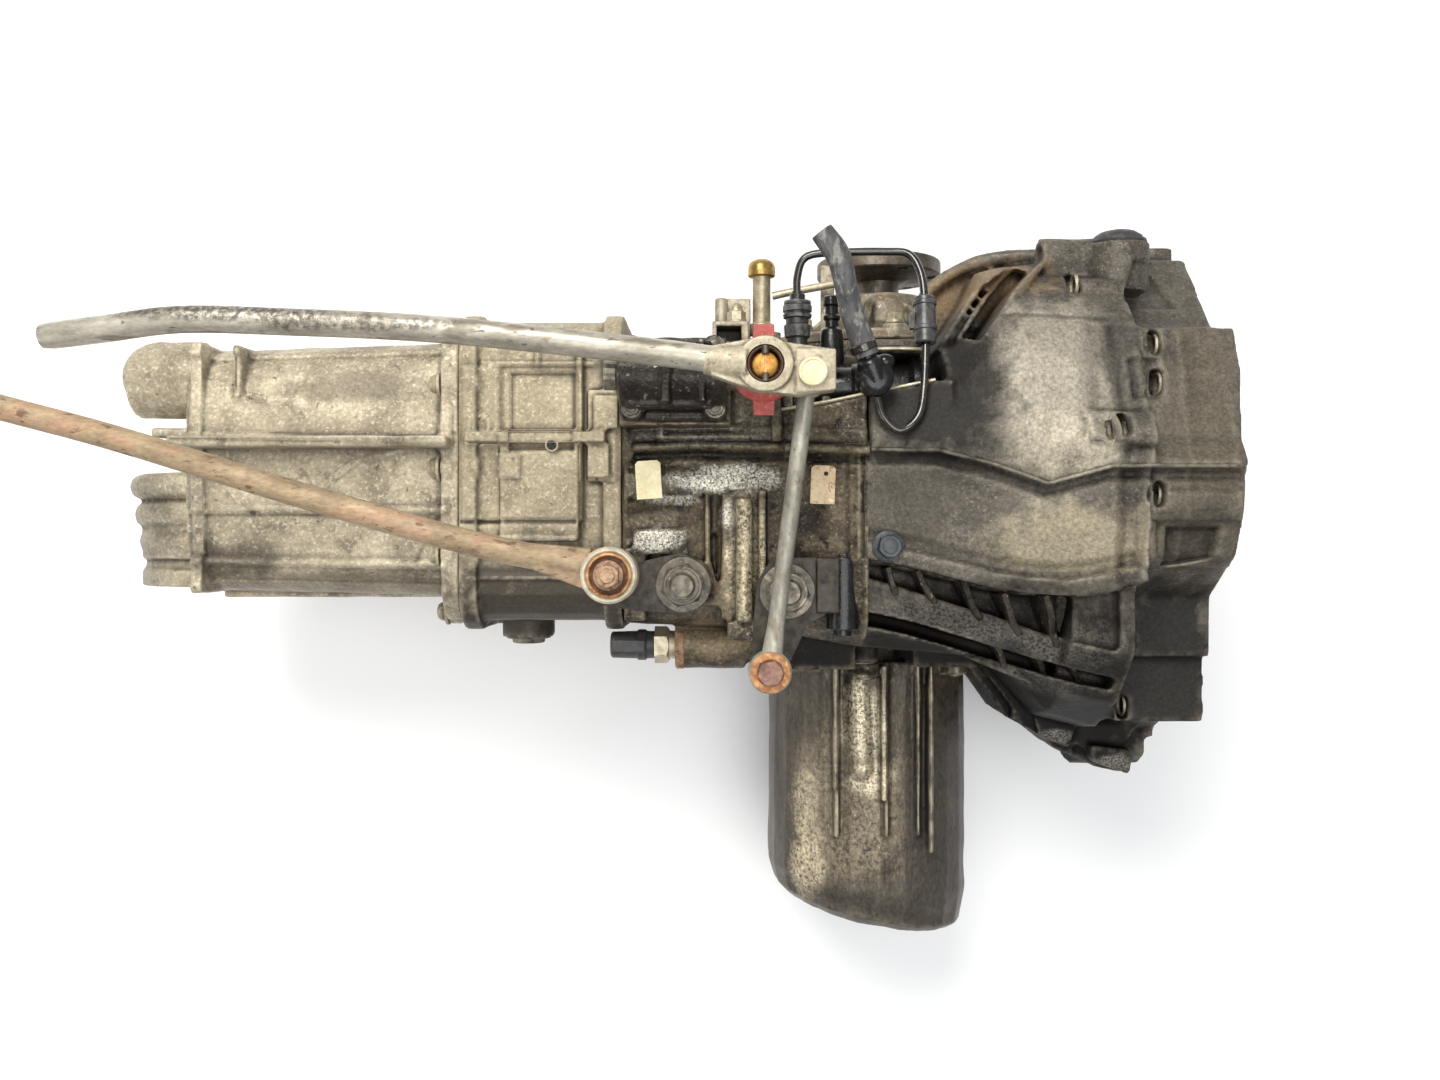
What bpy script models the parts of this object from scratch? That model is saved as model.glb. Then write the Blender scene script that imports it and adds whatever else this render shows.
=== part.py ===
"""A five-speed manual transaxle for a lengthwise engine, modelled as the assembly of its pieces.

Sizes are millimetres in the gearbox's own frame: the origin is where the input shaft's axis meets
the engine face, +X points at the engine, +Y to the vehicle's left and +Z up. The empty
"gearbox_axis" carries that frame to the world, so that the whole stands on Z = 0 with its box
centred on the world's Z axis.
"""

import math

import bmesh
import bpy
from mathutils import Matrix, Vector

MM = 0.001

# Where the gearbox's own frame lies in the world
FRAME_AT = (396.0, 73.0, 178.0)

# Driving dimensions of the housings
FLANGE_RADIUS = 178.0
BOLT_CIRCLE = 168.0
REST_Z = -178.0
HOUSING_REAR_X = -382.0
BEARING_REAR_X = -490.0
COVER_REAR_X = -678.0
JOINT_GAP = 0.4

# Gear train
SHAFT_DISTANCE = 75.0
TOOTH_SUM = 42
MODULE = 2.0 * SHAFT_DISTANCE / TOOTH_SUM
GEAR_WIDTH = 20.0
GEAR_OFFSET = 23.0
SLEEVE_HALF = 12.0
DOG_RING_RADIUS = 31.0
SYNCHRO_12_X = -347.0
SYNCHRO_34_X = -471.0
SYNCHRO_5R_X = -573.0
REVERSE_DRIVE_TEETH = 12
REVERSE_DRIVEN_TEETH = 24
REVERSE_IDLER_TEETH = 17

# Final drive
AXLE_X = -190.0
AXLE_Z = -SHAFT_DISTANCE
RING_TEETH = 35
PINION_TEETH = 9
RING_PITCH_RADIUS = 82.0

# Shift linkage
ROD_RADIUS = 7.8
SHIFT_ROD_Z = 193.0
LINK_Z = 165.0
SELECTOR_Y = 68.0
SELECTOR_Z = 148.0
BALL_X = -291.0
STUD_AT = (-264.0, 63.0, LINK_Z)
LINK_PIVOT = (-287.0, -112.0, LINK_Z)
BUSH_AT = (-383.0, -54.0, LINK_Z)
BRACKET_Z = 128.0
BRACKET_THICK = 6.0

# Clutch release
SLAVE_Y = 66.0
SLAVE_Z = 108.0
LEVER_X = -80.0
LEVER_PIVOT_DISTANCE = 69.0
SPIGOT_AT = (-222.0, SLAVE_Y, 153.0)
SPIGOT_AXIS = Vector((-0.42, 1, 0.14))

# Heat shield over the right drive flange
SHIELD_X = -201.0
SHIELD_NEAR_Y = -122.0
SHIELD_FOOT_Z = -92.0
SHIELD_SLANT = -0.2

# Pocket in the left wall round the differential's side cover
SIDE_POCKET_RADIUS = 106.0

# Fixing points: angle from +Y towards +Z and rear end of each bell bolt boss, the heat shield's bolts
# as (X, Z) and its ribs as (X, top), the bracket's studs as (X, Y), the shift rails as (Y, Z), the
# synchronisers as (X, Z), and the span of each shift rail along X
BELL_BOSSES = (
    (43, -90), (62, -58), (71, -58), (79, -84), (92, -58), (128, -54), (143, -54),
    (205, -40), (237, -40), (303, -40), (335, -40),
)
SHIELD_BOLTS = ((-212, 17), (-143, -5))
SHIELD_RIBS = ((-232, 14), (-196, 15), (-172, 10))
BRACKET_STUDS = {"rear": (-340, -61), "front": (-275, -65)}
RAILS = {"12": (78.0, 0.0), "34": (66.0, 22.0), "5r": (84.0, -24.0)}
SYNCHROS = {
    "12": (SYNCHRO_12_X, AXLE_Z),
    "34": (SYNCHRO_34_X, 0.0),
    "5r": (SYNCHRO_5R_X, AXLE_Z),
}
RAIL_SPANS = {"12": (-425, -322), "34": (-500, -384), "5r": (-583, -384)}

# Colour, metallic value and roughness of each kind of surface
FINISHES = {
    "cast_light": ((0.42, 0.39, 0.33), 0.6, 0.6),
    "cast_dark": ((0.17, 0.15, 0.13), 0.6, 0.5),
    "steel": ((0.45, 0.44, 0.42), 1.0, 0.35),
    "gear_steel": ((0.55, 0.55, 0.56), 1.0, 0.25),
    "dark_steel": ((0.08, 0.075, 0.07), 0.8, 0.45),
    "rusty": ((0.34, 0.2, 0.12), 0.5, 0.7),
    "zinc": ((0.62, 0.6, 0.55), 1.0, 0.35),
    "brass": ((0.62, 0.47, 0.22), 1.0, 0.35),
    "red_plastic": ((0.42, 0.06, 0.05), 0.0, 0.55),
    "amber_plastic": ((0.65, 0.38, 0.12), 0.0, 0.45),
    "black_plastic": ((0.02, 0.02, 0.022), 0.0, 0.4),
    "rubber": ((0.03, 0.03, 0.032), 0.0, 0.75),
}


def clear_scene():
    for obj in list(bpy.data.objects):
        bpy.data.objects.remove(obj)


def finish_material(finish):
    material = bpy.data.materials.get(finish) or bpy.data.materials.new(finish)
    material.use_nodes = True
    colour, metallic, roughness = FINISHES[finish]
    shader = material.node_tree.nodes["Principled BSDF"]
    shader.inputs["Base Color"].default_value = (*colour, 1.0)
    shader.inputs["Metallic"].default_value = metallic
    shader.inputs["Roughness"].default_value = roughness
    return material


# Shapes. Each returns a bmesh in millimetres, in the gearbox's frame.


def loft(rings, closed=False):
    """Skin over rings of equal length; the first and last are capped unless the skin closes on itself."""
    shape = bmesh.new()
    rows = [[shape.verts.new(point) for point in ring] for ring in rings]
    count = len(rows[0])
    pairs = list(zip(rows, rows[1:]))
    if closed:
        pairs.append((rows[-1], rows[0]))
    for low, high in pairs:
        for i in range(count):
            j = (i + 1) % count
            shape.faces.new((low[i], low[j], high[j], high[i]))
    if not closed:
        shape.faces.new(rows[0])
        shape.faces.new(rows[-1])
    bmesh.ops.recalc_face_normals(shape, faces=shape.faces)
    return shape


AXES = {"X": (1, 0, 0), "Y": (0, 1, 0), "Z": (0, 0, 1)}


def axes_of(axis):
    """(along, side, up) unit vectors of a turned or extruded shape."""
    along = Vector(AXES[axis] if isinstance(axis, str) else axis).normalized()
    side = Vector((0, 0, 1)).cross(along)
    if side.length < 1e-6:
        side = Vector((1, 0, 0))
    side.normalize()
    return along, side, along.cross(side)


def turned(profile, axis="X", at=(0, 0, 0), segments=16, ring=False):
    """A solid of revolution from (along, radius) points; ring=True closes the profile into a tube."""
    along, side, up = axes_of(axis)
    rings = []
    for distance, radius in profile:
        ring_points = []
        for i in range(segments):
            angle = 2.0 * math.pi * i / segments
            spoke = side * math.cos(angle) + up * math.sin(angle)
            ring_points.append(Vector(at) + along * distance + spoke * radius)
        rings.append(ring_points)
    return loft(rings, closed=ring)


def tube(start, end, outer, inner, axis="X", at=(0, 0, 0), segments=16):
    profile = [(start, inner), (start, outer), (end, outer), (end, inner)]
    return turned(profile, axis, at, segments, ring=True)


def cylinder(start, end, radius, axis="X", at=(0, 0, 0), segments=16):
    return turned([(start, radius), (end, radius)], axis, at, segments)


def prism(outline, low, high, axis="Z", at=(0, 0, 0)):
    """An outline of (side, up) points extruded along an axis."""
    along, side, up = axes_of(axis)
    base = Vector(at)
    rings = [
        [base + along * level + side * a + up * b for a, b in outline] for level in (low, high)
    ]
    return loft(rings)


def block(x, y, z):
    """A box from (low, high) pairs."""
    outline = [(x[0], y[0]), (x[1], y[0]), (x[1], y[1]), (x[0], y[1])]
    return loft([[(a, b, level) for a, b in outline] for level in z])


def plan_plate(outline, low, high):
    """A plate from an (x, y) outline, between two heights."""
    return loft([[(x, y, level) for x, y in outline] for level in (low, high)])


def rounded_section(x, y, z, corner, steps=5):
    """A ring of points at X = x: a rectangle y by z with rounded corners."""
    points = []
    corners = (
        (y[1] - corner, z[1] - corner, 0),
        (y[0] + corner, z[1] - corner, 90),
        (y[0] + corner, z[0] + corner, 180),
        (y[1] - corner, z[0] + corner, 270),
    )
    for centre_y, centre_z, start in corners:
        for i in range(steps + 1):
            angle = math.radians(start + 90.0 * i / steps)
            points.append((x, centre_y + corner * math.cos(angle), centre_z + corner * math.sin(angle)))
    return points


def swept(points, radius, sides=8):
    """A round bar along a smooth curve through the points."""
    route = smooth_route([Vector(point) for point in points])
    side = Vector((0, 0, 1))
    rings = []
    for i, point in enumerate(route):
        ahead = route[min(i + 1, len(route) - 1)] - route[max(i - 1, 0)]
        along = ahead.normalized()
        side = (side - along * side.dot(along)).normalized()
        up = along.cross(side)
        rings.append(
            [
                point + (side * math.cos(a) + up * math.sin(a)) * radius
                for a in (2.0 * math.pi * k / sides for k in range(sides))
            ]
        )
    return loft(rings)


def smooth_route(points, steps=2):
    """Catmull-Rom points through the given ones."""
    ends = [points[0] * 2 - points[1]] + points + [points[-1] * 2 - points[-2]]
    route = []
    for a, b, c, d in zip(ends, ends[1:], ends[2:], ends[3:]):
        for i in range(steps):
            t = i / steps
            spot = 2 * b + (c - a) * t + (2 * a - 5 * b + 4 * c - d) * t**2
            route.append((spot + (3 * b - a - 3 * c + d) * t**3) / 2)
    route.append(points[-1])
    return route


def tooth_outline(teeth, module, phase=0.0):
    """(radius, angle) points round a spur gear, one tooth centred on the phase angle."""
    pitch_radius = teeth * module / 2.0
    root, tip = pitch_radius - 1.1 * module, pitch_radius + 0.8 * module
    pitch_angle = 2.0 * math.pi / teeth
    points = []
    for tooth in range(teeth):
        middle = phase + tooth * pitch_angle
        for radius, offset in ((root, -0.29), (tip, -0.11), (tip, 0.11), (root, 0.29)):
            points.append((radius, middle + offset * pitch_angle))
    return points


def spur_gear(teeth, x0, x1, at=(0, 0, 0), phase=0.0):
    """A gear without a bore whose axis is along X; the angle is measured from +Y towards +Z."""
    outline = [(r * math.cos(a), r * math.sin(a)) for r, a in tooth_outline(teeth, MODULE, phase)]
    return loft([[(x, at[1] + y, at[2] + z) for y, z in outline] for x in (x0, x1)])


def bevel_rings(teeth, pitch_angle, cone_distances):
    """Tooth outlines of a bevel gear as (along, side, up) points, one per cone distance."""
    module = 2.0 * RING_PITCH_RADIUS / RING_TEETH
    outer = cone_distances[0]
    tip = pitch_angle + 0.8 * module / outer
    root = pitch_angle - 1.1 * module / outer
    step = 2.0 * math.pi / teeth
    rings = []
    for distance in cone_distances:
        ring = []
        for tooth in range(teeth):
            for cone, offset in ((root, -0.28), (tip, -0.1), (tip, 0.1), (root, 0.28)):
                angle = (tooth + offset) * step
                radius = distance * math.sin(cone)
                ring.append((distance * math.cos(cone), radius * math.cos(angle), radius * math.sin(angle)))
        rings.append(ring)
    return rings


# Objects


def mesh_of(shape, name, pivot):
    mesh = bpy.data.meshes.new(name)
    moved = Matrix.Scale(MM, 4) @ Matrix.Translation(-Vector(pivot))
    bmesh.ops.transform(shape, matrix=moved, verts=shape.verts)
    shape.to_mesh(mesh)
    shape.free()
    return mesh


def boolean(target, shape, operation):
    """Joins a shape to a bmesh, or cuts it out of it, and returns the result as a bmesh."""
    objects = []
    for label, source in (("target", target), ("tool", shape)):
        mesh = bpy.data.meshes.new(label)
        source.to_mesh(mesh)
        source.free()
        obj = bpy.data.objects.new(label, mesh)
        bpy.context.collection.objects.link(obj)
        objects.append(obj)
    modifier = objects[0].modifiers.new("boolean", "BOOLEAN")
    modifier.operation = operation
    modifier.object = objects[1]
    graph = bpy.context.evaluated_depsgraph_get()
    result = bmesh.new()
    result.from_object(objects[0], graph)
    for obj in objects:
        mesh = obj.data
        bpy.data.objects.remove(obj)
        bpy.data.meshes.remove(mesh)
    return result


def joined(first, *others):
    for other in others:
        first = boolean(first, other, "UNION")
    return first


def cut(first, *tools):
    for tool in tools:
        first = boolean(first, tool, "DIFFERENCE")
    return first


def add_node(name, shape, finish, pivot=(0, 0, 0)):
    """Makes the object of one piece, with its origin at the pivot."""
    bmesh.ops.remove_doubles(shape, verts=shape.verts, dist=0.001)
    obj = bpy.data.objects.new(name, mesh_of(shape, name, pivot))
    obj.data.shade_smooth()
    obj.data.set_sharp_from_angle(angle=math.radians(32))
    obj.data.materials.append(finish_material(finish))
    obj.parent = bpy.data.objects["gearbox_axis"]
    obj.location = Vector(pivot) * MM
    bpy.context.collection.objects.link(obj)
    return obj


def add_frame():
    frame = bpy.data.objects.new("gearbox_axis", None)
    frame.location = Vector(FRAME_AT) * MM
    bpy.context.collection.objects.link(frame)


def hexagon(across_flats, turn=0.0):
    radius = across_flats / math.sqrt(3.0)
    return [
        (radius * math.cos(turn + k * math.pi / 3.0), radius * math.sin(turn + k * math.pi / 3.0))
        for k in range(6)
    ]


def boss_centre(angle):
    turn = math.radians(angle)
    return BOLT_CIRCLE * math.cos(turn), BOLT_CIRCLE * math.sin(turn)


def housing_outer():
    """The outside of the one-piece bell, final-drive and gear housing."""
    sections = (
        (HOUSING_REAR_X, (-90, 104), (-150, 92), 28),
        (-300, (-92, 102), (-156, 104), 34),
        (-224, (-104, 90), (-172, 134), 44),
        (-168, (-108, 98), (-174, 150), 54),
        (-146, (-112, 146), (-175, 156), 78),
        (-130, (-117, 152), (-175, 160), 96),
        (-96, (-156, 160), (-176, 167), 128),
        (-54, (-170, 168), (-177, 174), 156),
        (-12, (-172, 172), (-178, 176), 166),
    )
    body = loft([rounded_section(*section) for section in sections])
    rim = cut(
        cylinder(-16, 0, FLANGE_RADIUS, segments=40),
        block((-20, 4), (-200, 200), (-220, REST_Z)),
    )
    return joined(body, rim)


def housing_bosses():
    for angle, back in BELL_BOSSES:
        y, z = boss_centre(angle)
        yield cylinder(back, -0.5, 12.5, at=(0, y, z), segments=12)


def add_gearbox_housing():
    axle = (AXLE_X, 0, AXLE_Z)
    shape = housing_outer()
    shape = joined(shape, *housing_bosses())
    shape = joined(
        shape,
        cylinder(60, 112, 100, "Y", axle, 28),
        cylinder(-128, -50, 42, "Y", axle, 18),
        cylinder(-106, -6, 44, at=(0, -158, -22), segments=16),
        cylinder(-106, -79, 10, at=(0, 146, 100), segments=12),
        cylinder(130, 158, 19, "Y", (-58, 0, 104), 16),
        cylinder(-346, -300, 15.5, at=(0, -105, 60), segments=16),
        *(cylinder(80, BRACKET_Z, 17, "Z", (x, y, 0), 16) for x, y in BRACKET_STUDS.values()),
        *(cylinder(-121.6, -80, 10, "Y", (x, 0, z), 12) for x, z in SHIELD_BOLTS),
        block((-381, -310), (40, 94), (70, 124)),
        block((-376, -224), (-60, 60), (REST_Z, -140)),
    )
    clutch = cut(
        turned([(-96, 142), (-50, 158), (2, 158)], segments=32),
        cylinder(107, 220, SIDE_POCKET_RADIUS + 5, "Y", axle, 28),
    )
    slave_recess = block((-270, -176), (27, 130), (86, 190))
    final_drive = loft([rounded_section(x, (-84, 86), (-164, 70), 34) for x in (-276, -104)])
    gears = loft([rounded_section(x, (-78, 92), (-140, 74), 26) for x in (-390, -300)])
    shape = cut(
        shape,
        clutch,
        slave_recess,
        final_drive,
        gears,
        cylinder(50, 130, 88, "Y", axle, 28),
        cylinder(112, 220, SIDE_POCKET_RADIUS, "Y", axle, 28),
        cylinder(-140, -40, 20, "Y", axle, 18),
        cylinder(-76, -40, 28.4, "Y", axle, 18),
        cylinder(-310, -270, 30.4, segments=16),
        cylinder(-310, -270, 40.4, at=(0, 0, AXLE_Z), segments=16),
        cylinder(-110, -90, 25, segments=16),
        cylinder(-110, -56, 34, at=(0, -158, -22), segments=16),
        cylinder(-60, 4, 30, at=(0, -158, -22), segments=16),
        cylinder(-182, -88, 9, at=(0, SLAVE_Y, SLAVE_Z), segments=12),
        block((-366, -334), (54, 82), (60, 130)),
        cylinder(-352, -320, 7.4, at=(0, -105, 60), segments=12),
        cylinder(148, 162, 14.4, "Y", (-58, 0, 104), 16),
        *(cylinder(back - 4, 4, 6.5, at=(0, *boss_centre(angle)), segments=8) for angle, back in BELL_BOSSES),
        *(cylinder(-130, -106, 4.4, "Y", (x, 0, z), 10) for x, z in SHIELD_BOLTS),
    )
    add_node("gearbox_housing", shape, "cast_dark")


def add_bearing_housing():
    front, rear = HOUSING_REAR_X - JOINT_GAP, BEARING_REAR_X
    outline = ((-88, 116), (-146, 90), 28)
    flange = ((-94, 120), (-151, 94), 30)
    shape = joined(
        loft([rounded_section(x, *outline) for x in (rear + 2, front - 2)]),
        loft([rounded_section(x, *flange) for x in (rear, rear + 12)]),
        loft([rounded_section(x, *flange) for x in (front - 12, front)]),
        block((-484, -392), (31, 38), (80, 104)),
        block((-462, -410), (-34, 40), (80, 98)),
        cylinder(-100, -80, 17, "Y", (-455, 0, 20), 16),
    )
    inner = ((-74, 98), (-136, 76), 24)
    shape = cut(
        shape,
        loft([rounded_section(x, *inner) for x in (front - 10, front + 4)]),
        loft([rounded_section(x, *inner) for x in (rear - 4, rear + 72)]),
        cylinder(-430, -380, 30.4, segments=16),
        cylinder(-430, -380, 38.4, at=(0, 0, AXLE_Z), segments=16),
        cylinder(-110, -90, 11.4, "Y", (-455, 0, 20), 16),
        *(cylinder(-430, -380, 6.4, at=(0, y, z), segments=12) for y, z in RAILS.values()),
    )
    add_node("bearing_housing", shape, "cast_light")


def cooling_fin(y, thickness):
    """A thick fin on the end wall: a rounded tongue standing lengthwise."""
    outline = []
    for i in range(9):
        angle = math.radians(-90 + 180 * i / 8)
        outline.append((COVER_REAR_X + 6 - 66 * math.cos(angle), 2 + 54 * math.sin(angle)))
    return loft([[(x, level, z) for x, z in outline] for level in (y, y + thickness)])


def add_rear_cover():
    front = BEARING_REAR_X - JOINT_GAP
    sections = (
        (COVER_REAR_X, (-62, 92), (-128, 76), 40),
        (COVER_REAR_X + 8, (-68, 99), (-138, 83), 40),
        (front - 2, (-72, 104), (-142, 86), 34),
    )
    flange = ((-88, 114), (-148, 92), 30)
    idler = (0, *idler_centre())
    shape = joined(
        loft([rounded_section(*section) for section in sections]),
        loft([rounded_section(x, *flange) for x in (front - 12, front)]),
        block((COVER_REAR_X, front - 4), (28, 35), (70, 106)),
        block((COVER_REAR_X + 6, front - 4), (-74, -66), (20, 28)),
        cylinder(COVER_REAR_X - 46, front - 30, 24, at=(0, 76, 44), segments=16),
        *(cooling_fin(-66 + 20 * i, 12) for i in range(4)),
    )
    cavity = ((-63, 95), (-133, 77), 28)
    shape = cut(shape, loft([rounded_section(x, *cavity) for x in (COVER_REAR_X + 12, front + 4)]))
    seats = (((0, 0, 0), 30.4), ((0, 0, AXLE_Z), 34.4), (idler, 8.3))
    for at, bore in seats:
        shape = joined(shape, cylinder(COVER_REAR_X + 6, -622, bore + 6, at=at, segments=16))
    for at, bore in seats:
        shape = cut(shape, cylinder(COVER_REAR_X + 24, -610, bore, at=at, segments=16))
    add_node("rear_cover", shape, "cast_light")


def add_diff_side_cover():
    axle = (AXLE_X, 0, AXLE_Z)
    outside = [(58, 38), (110, 38), (112.4, 84), (112.4, 99.5), (120, 99.5), (124, 60), (134, 42), (158, 38)]
    shape = turned(outside, "Y", axle, 28)
    shape = cut(shape, cylinder(50, 84, 30.4, "Y", axle, 18), cylinder(80, 170, 17, "Y", axle, 18))
    add_node("diff_side_cover", shape, "cast_light")


def add_selector_cover():
    base = 124.3
    shape = joined(
        block((-379, -313), (42, 94), (base, 134)),
        block((-374, -322), (48, 88), (base + 2, 158)),
        cylinder(-376, -316, 17, at=(0, SELECTOR_Y, SELECTOR_Z), segments=16),
    )
    shape = cut(
        shape,
        cylinder(-380, -310, 9.5, at=(0, SELECTOR_Y, SELECTOR_Z), segments=16),
        block((-366, -334), (56, 80), (120, 150)),
    )
    add_node("selector_cover", shape, "cast_dark")


def arch(y, half, crown, slant=0.0, foot=SHIELD_FOOT_Z, steps=12):
    """A half circle over two straight legs at Y = y, like the end of a barrel vault.

    slant is how far Y changes per millimetre towards the engine.
    """
    points = [(-half, foot), (half, foot)]
    for i in range(steps + 1):
        angle = math.pi * i / steps
        points.append((half * math.cos(angle), crown - half + half * math.sin(angle)))
    return [(SHIELD_X + across, y + slant * across, z) for across, z in points]


def add_heat_shield():
    near = SHIELD_NEAR_Y
    outer = [
        arch(near, 75, 12),
        arch(-292, 77, 9, SHIELD_SLANT / 2),
        arch(-314, 73, 4, SHIELD_SLANT),
        arch(-321, 65, -7, SHIELD_SLANT),
    ]
    below = SHIELD_FOOT_Z - 4
    inner = [
        arch(near + 4, 71, 8, 0, below),
        arch(-289, 73, 5, SHIELD_SLANT / 2, below),
        arch(-312, 67, -2, SHIELD_SLANT, below),
        arch(-325, 57, -15, SHIELD_SLANT, below),
    ]
    ribs = [block((x - 1.5, x + 1.5), (-250, near), (-20, top)) for x, top in SHIELD_RIBS]
    lugs = [cylinder(near - 10, near, 10, "Y", (x, 0, z), 12) for x, z in SHIELD_BOLTS]
    shape = cut(
        joined(loft(outer), *ribs, *lugs),
        loft(inner),
        *(cylinder(-140, -110, 4.4, "Y", (x, 0, z), 10) for x, z in SHIELD_BOLTS),
    )
    add_node("heat_shield", shape, "cast_light")


def add_shield_bolts():
    for number, (x, z) in enumerate(SHIELD_BOLTS, 1):
        shape = turned([(-138, 6), (-132.4, 6), (-132.4, 4), (-110, 4)], "Y", (x, 0, z), 12)
        add_node(f"heat_shield_bolt_{number}", shape, "zinc")


# Brackets, plugs and fittings


def add_support_bracket():
    outline = (
        (-398, -66), (-384, -74), (-350, -86), (-306, -126), (-290, -130), (-270, -126),
        (-256, -92), (-256, -50), (-320, -42), (-392, -38), (-400, -50),
    )
    top = BRACKET_Z + 0.3 + BRACKET_THICK
    shape = plan_plate(outline, BRACKET_Z + 0.3, top)
    spacers = (
        cylinder(top - 1, LINK_Z - 12.4, 9, "Z", (*BUSH_AT[:2], 0), 12),
        cylinder(top - 1, LINK_Z - 6.4, 8, "Z", (*LINK_PIVOT[:2], 0), 12),
    )
    holes = [cylinder(100, 180, 5.3, "Z", (x, y, 0), 12) for x, y in (BUSH_AT[:2], LINK_PIVOT[:2])]
    studs = [cylinder(100, 180, 8.4, "Z", (x, y, 0), 12) for x, y in BRACKET_STUDS.values()]
    add_node("support_bracket", cut(joined(shape, *spacers), *holes, *studs), "dark_steel")


def add_bracket_nuts():
    """Each stud with its nut and washer on, as one piece."""
    seat = BRACKET_Z + 0.3 + BRACKET_THICK + 0.3
    for place, (x, y) in BRACKET_STUDS.items():
        washer = cylinder(seat, seat + 3, 16, "Z", (x, y, 0), 20)
        stud = cylinder(BRACKET_Z + 0.6, seat + 22, 8, "Z", (x, y, 0), 12)
        nut = prism(hexagon(24, 0.3), seat + 2, seat + 15, "Z", (x, y, 0))
        add_node(f"bracket_nut_{place}", joined(washer, stud, nut), "dark_steel")


def add_pivot_bolts():
    low = BRACKET_Z + 2
    for name, at, top in (
        ("support_rod_bolt", BUSH_AT, LINK_Z + 12.4),
        ("link_pivot_bolt", LINK_PIVOT, LINK_Z + 6.4),
    ):
        place = (at[0], at[1], 0)
        washer = cylinder(top, top + 2, 12, "Z", place, 16)
        head = prism(hexagon(15), top + 1.5, top + 9, "Z", place)
        add_node(name, joined(washer, cylinder(low, top + 1, 5, "Z", place, 12), head), "rusty")


def add_small_fittings():
    switch = joined(
        cylinder(-352, -340, 7, at=(0, -105, 60), segments=12),
        prism(hexagon(22), -362, -347, "X", (0, -105, 60)),
        cylinder(-388, -361, 9.5, at=(0, -105, 60), segments=12),
    )
    add_node("reverse_light_switch", switch, "black_plastic")
    breather = turned([(104.4, 6), (146, 6), (147, 9), (153, 9), (156, 5)], "Y", (-289, 0, 78), 14)
    add_node("breather", breather, "brass")
    plug_profile = [(150, 13.8), (158.4, 13.8), (158.4, 18), (161, 18), (166, 12), (168, 5)]
    plug = turned(plug_profile, "Y", (-58, 0, 104), 18)
    add_node("inspection_plug", plug, "black_plastic")
    filler_profile = [(-101, 6), (-103, 16), (-100.4, 16), (-100.4, 11), (-92, 11)]
    filler = turned(filler_profile, "Y", (-455, 0, 20), 16)
    add_node("filler_plug", filler, "cast_light")


# Clutch release


def lever_direction():
    return Vector((0, SLAVE_Y, SLAVE_Z)).normalized()


def lever_point(distance, x=LEVER_X):
    """A point on the release lever's centre line, measured from the input shaft's axis."""
    return Vector((x, 0, 0)) + lever_direction() * distance


def add_clutch_release():
    sleeve = turned([(-103, 24.5), (-96, 24.5), (-96, 32), (-92, 32), (-92, 18), (-42, 18)], segments=16)
    sleeve = joined(sleeve, cylinder(-95.6, -92, 32, segments=16))
    add_node("guide_sleeve", cut(sleeve, cylinder(-110, -30, 14, segments=16)), "steel")
    bearing = tube(-72, -54, 33, 19.5, segments=16)
    add_node("release_bearing", joined(bearing, tube(-56, -50, 27, 19.5, segments=16)), "steel", (-63, 0, 0))
    add_release_lever()
    slave_at = (0, SLAVE_Y, SLAVE_Z)
    slave = turned(
        [(-256, 9), (-254, 13), (-232, 13), (-230, 15.5), (-196, 15.5), (-194, 21), (-188, 21), (-186.4, 12)],
        at=slave_at,
        segments=16,
    )
    slave = joined(slave, cylinder(SLAVE_Z, SLAVE_Z + 26, 7, "Z", (-222, SLAVE_Y, 0), 12))
    add_node("slave_cylinder", cut(slave, cylinder(-214, -180, 5, at=slave_at, segments=12)), "black_plastic")
    rod_end = LEVER_X - 3.4
    pushrod = turned([(-206, 4.4), (-96, 4.4), (rod_end - 2, 4.4), (rod_end, 2)], at=slave_at, segments=10)
    add_node("slave_pushrod", pushrod, "zinc", (-206, SLAVE_Y, SLAVE_Z))


def add_release_lever():
    along = lever_direction()
    across = Vector((0, -along.z, along.y))
    outline = (
        (-77, 7), (-40, 14), (-24, 34), (0, 40), (24, 34), (50, 16), (134, 11),
        (134, -11), (50, -16), (24, -34), (0, -40), (-24, -34), (-40, -14), (-77, -7),
    )
    rings = [
        [Vector((x, 0, 0)) + along * a + across * b for a, b in outline]
        for x in (LEVER_X - 3, LEVER_X + 3)
    ]
    shape = cut(loft(rings), cylinder(LEVER_X - 8, LEVER_X + 8, 24, segments=16))
    pivot = lever_point(-LEVER_PIVOT_DISTANCE)
    add_node("release_lever", shape, "steel", pivot)


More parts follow.
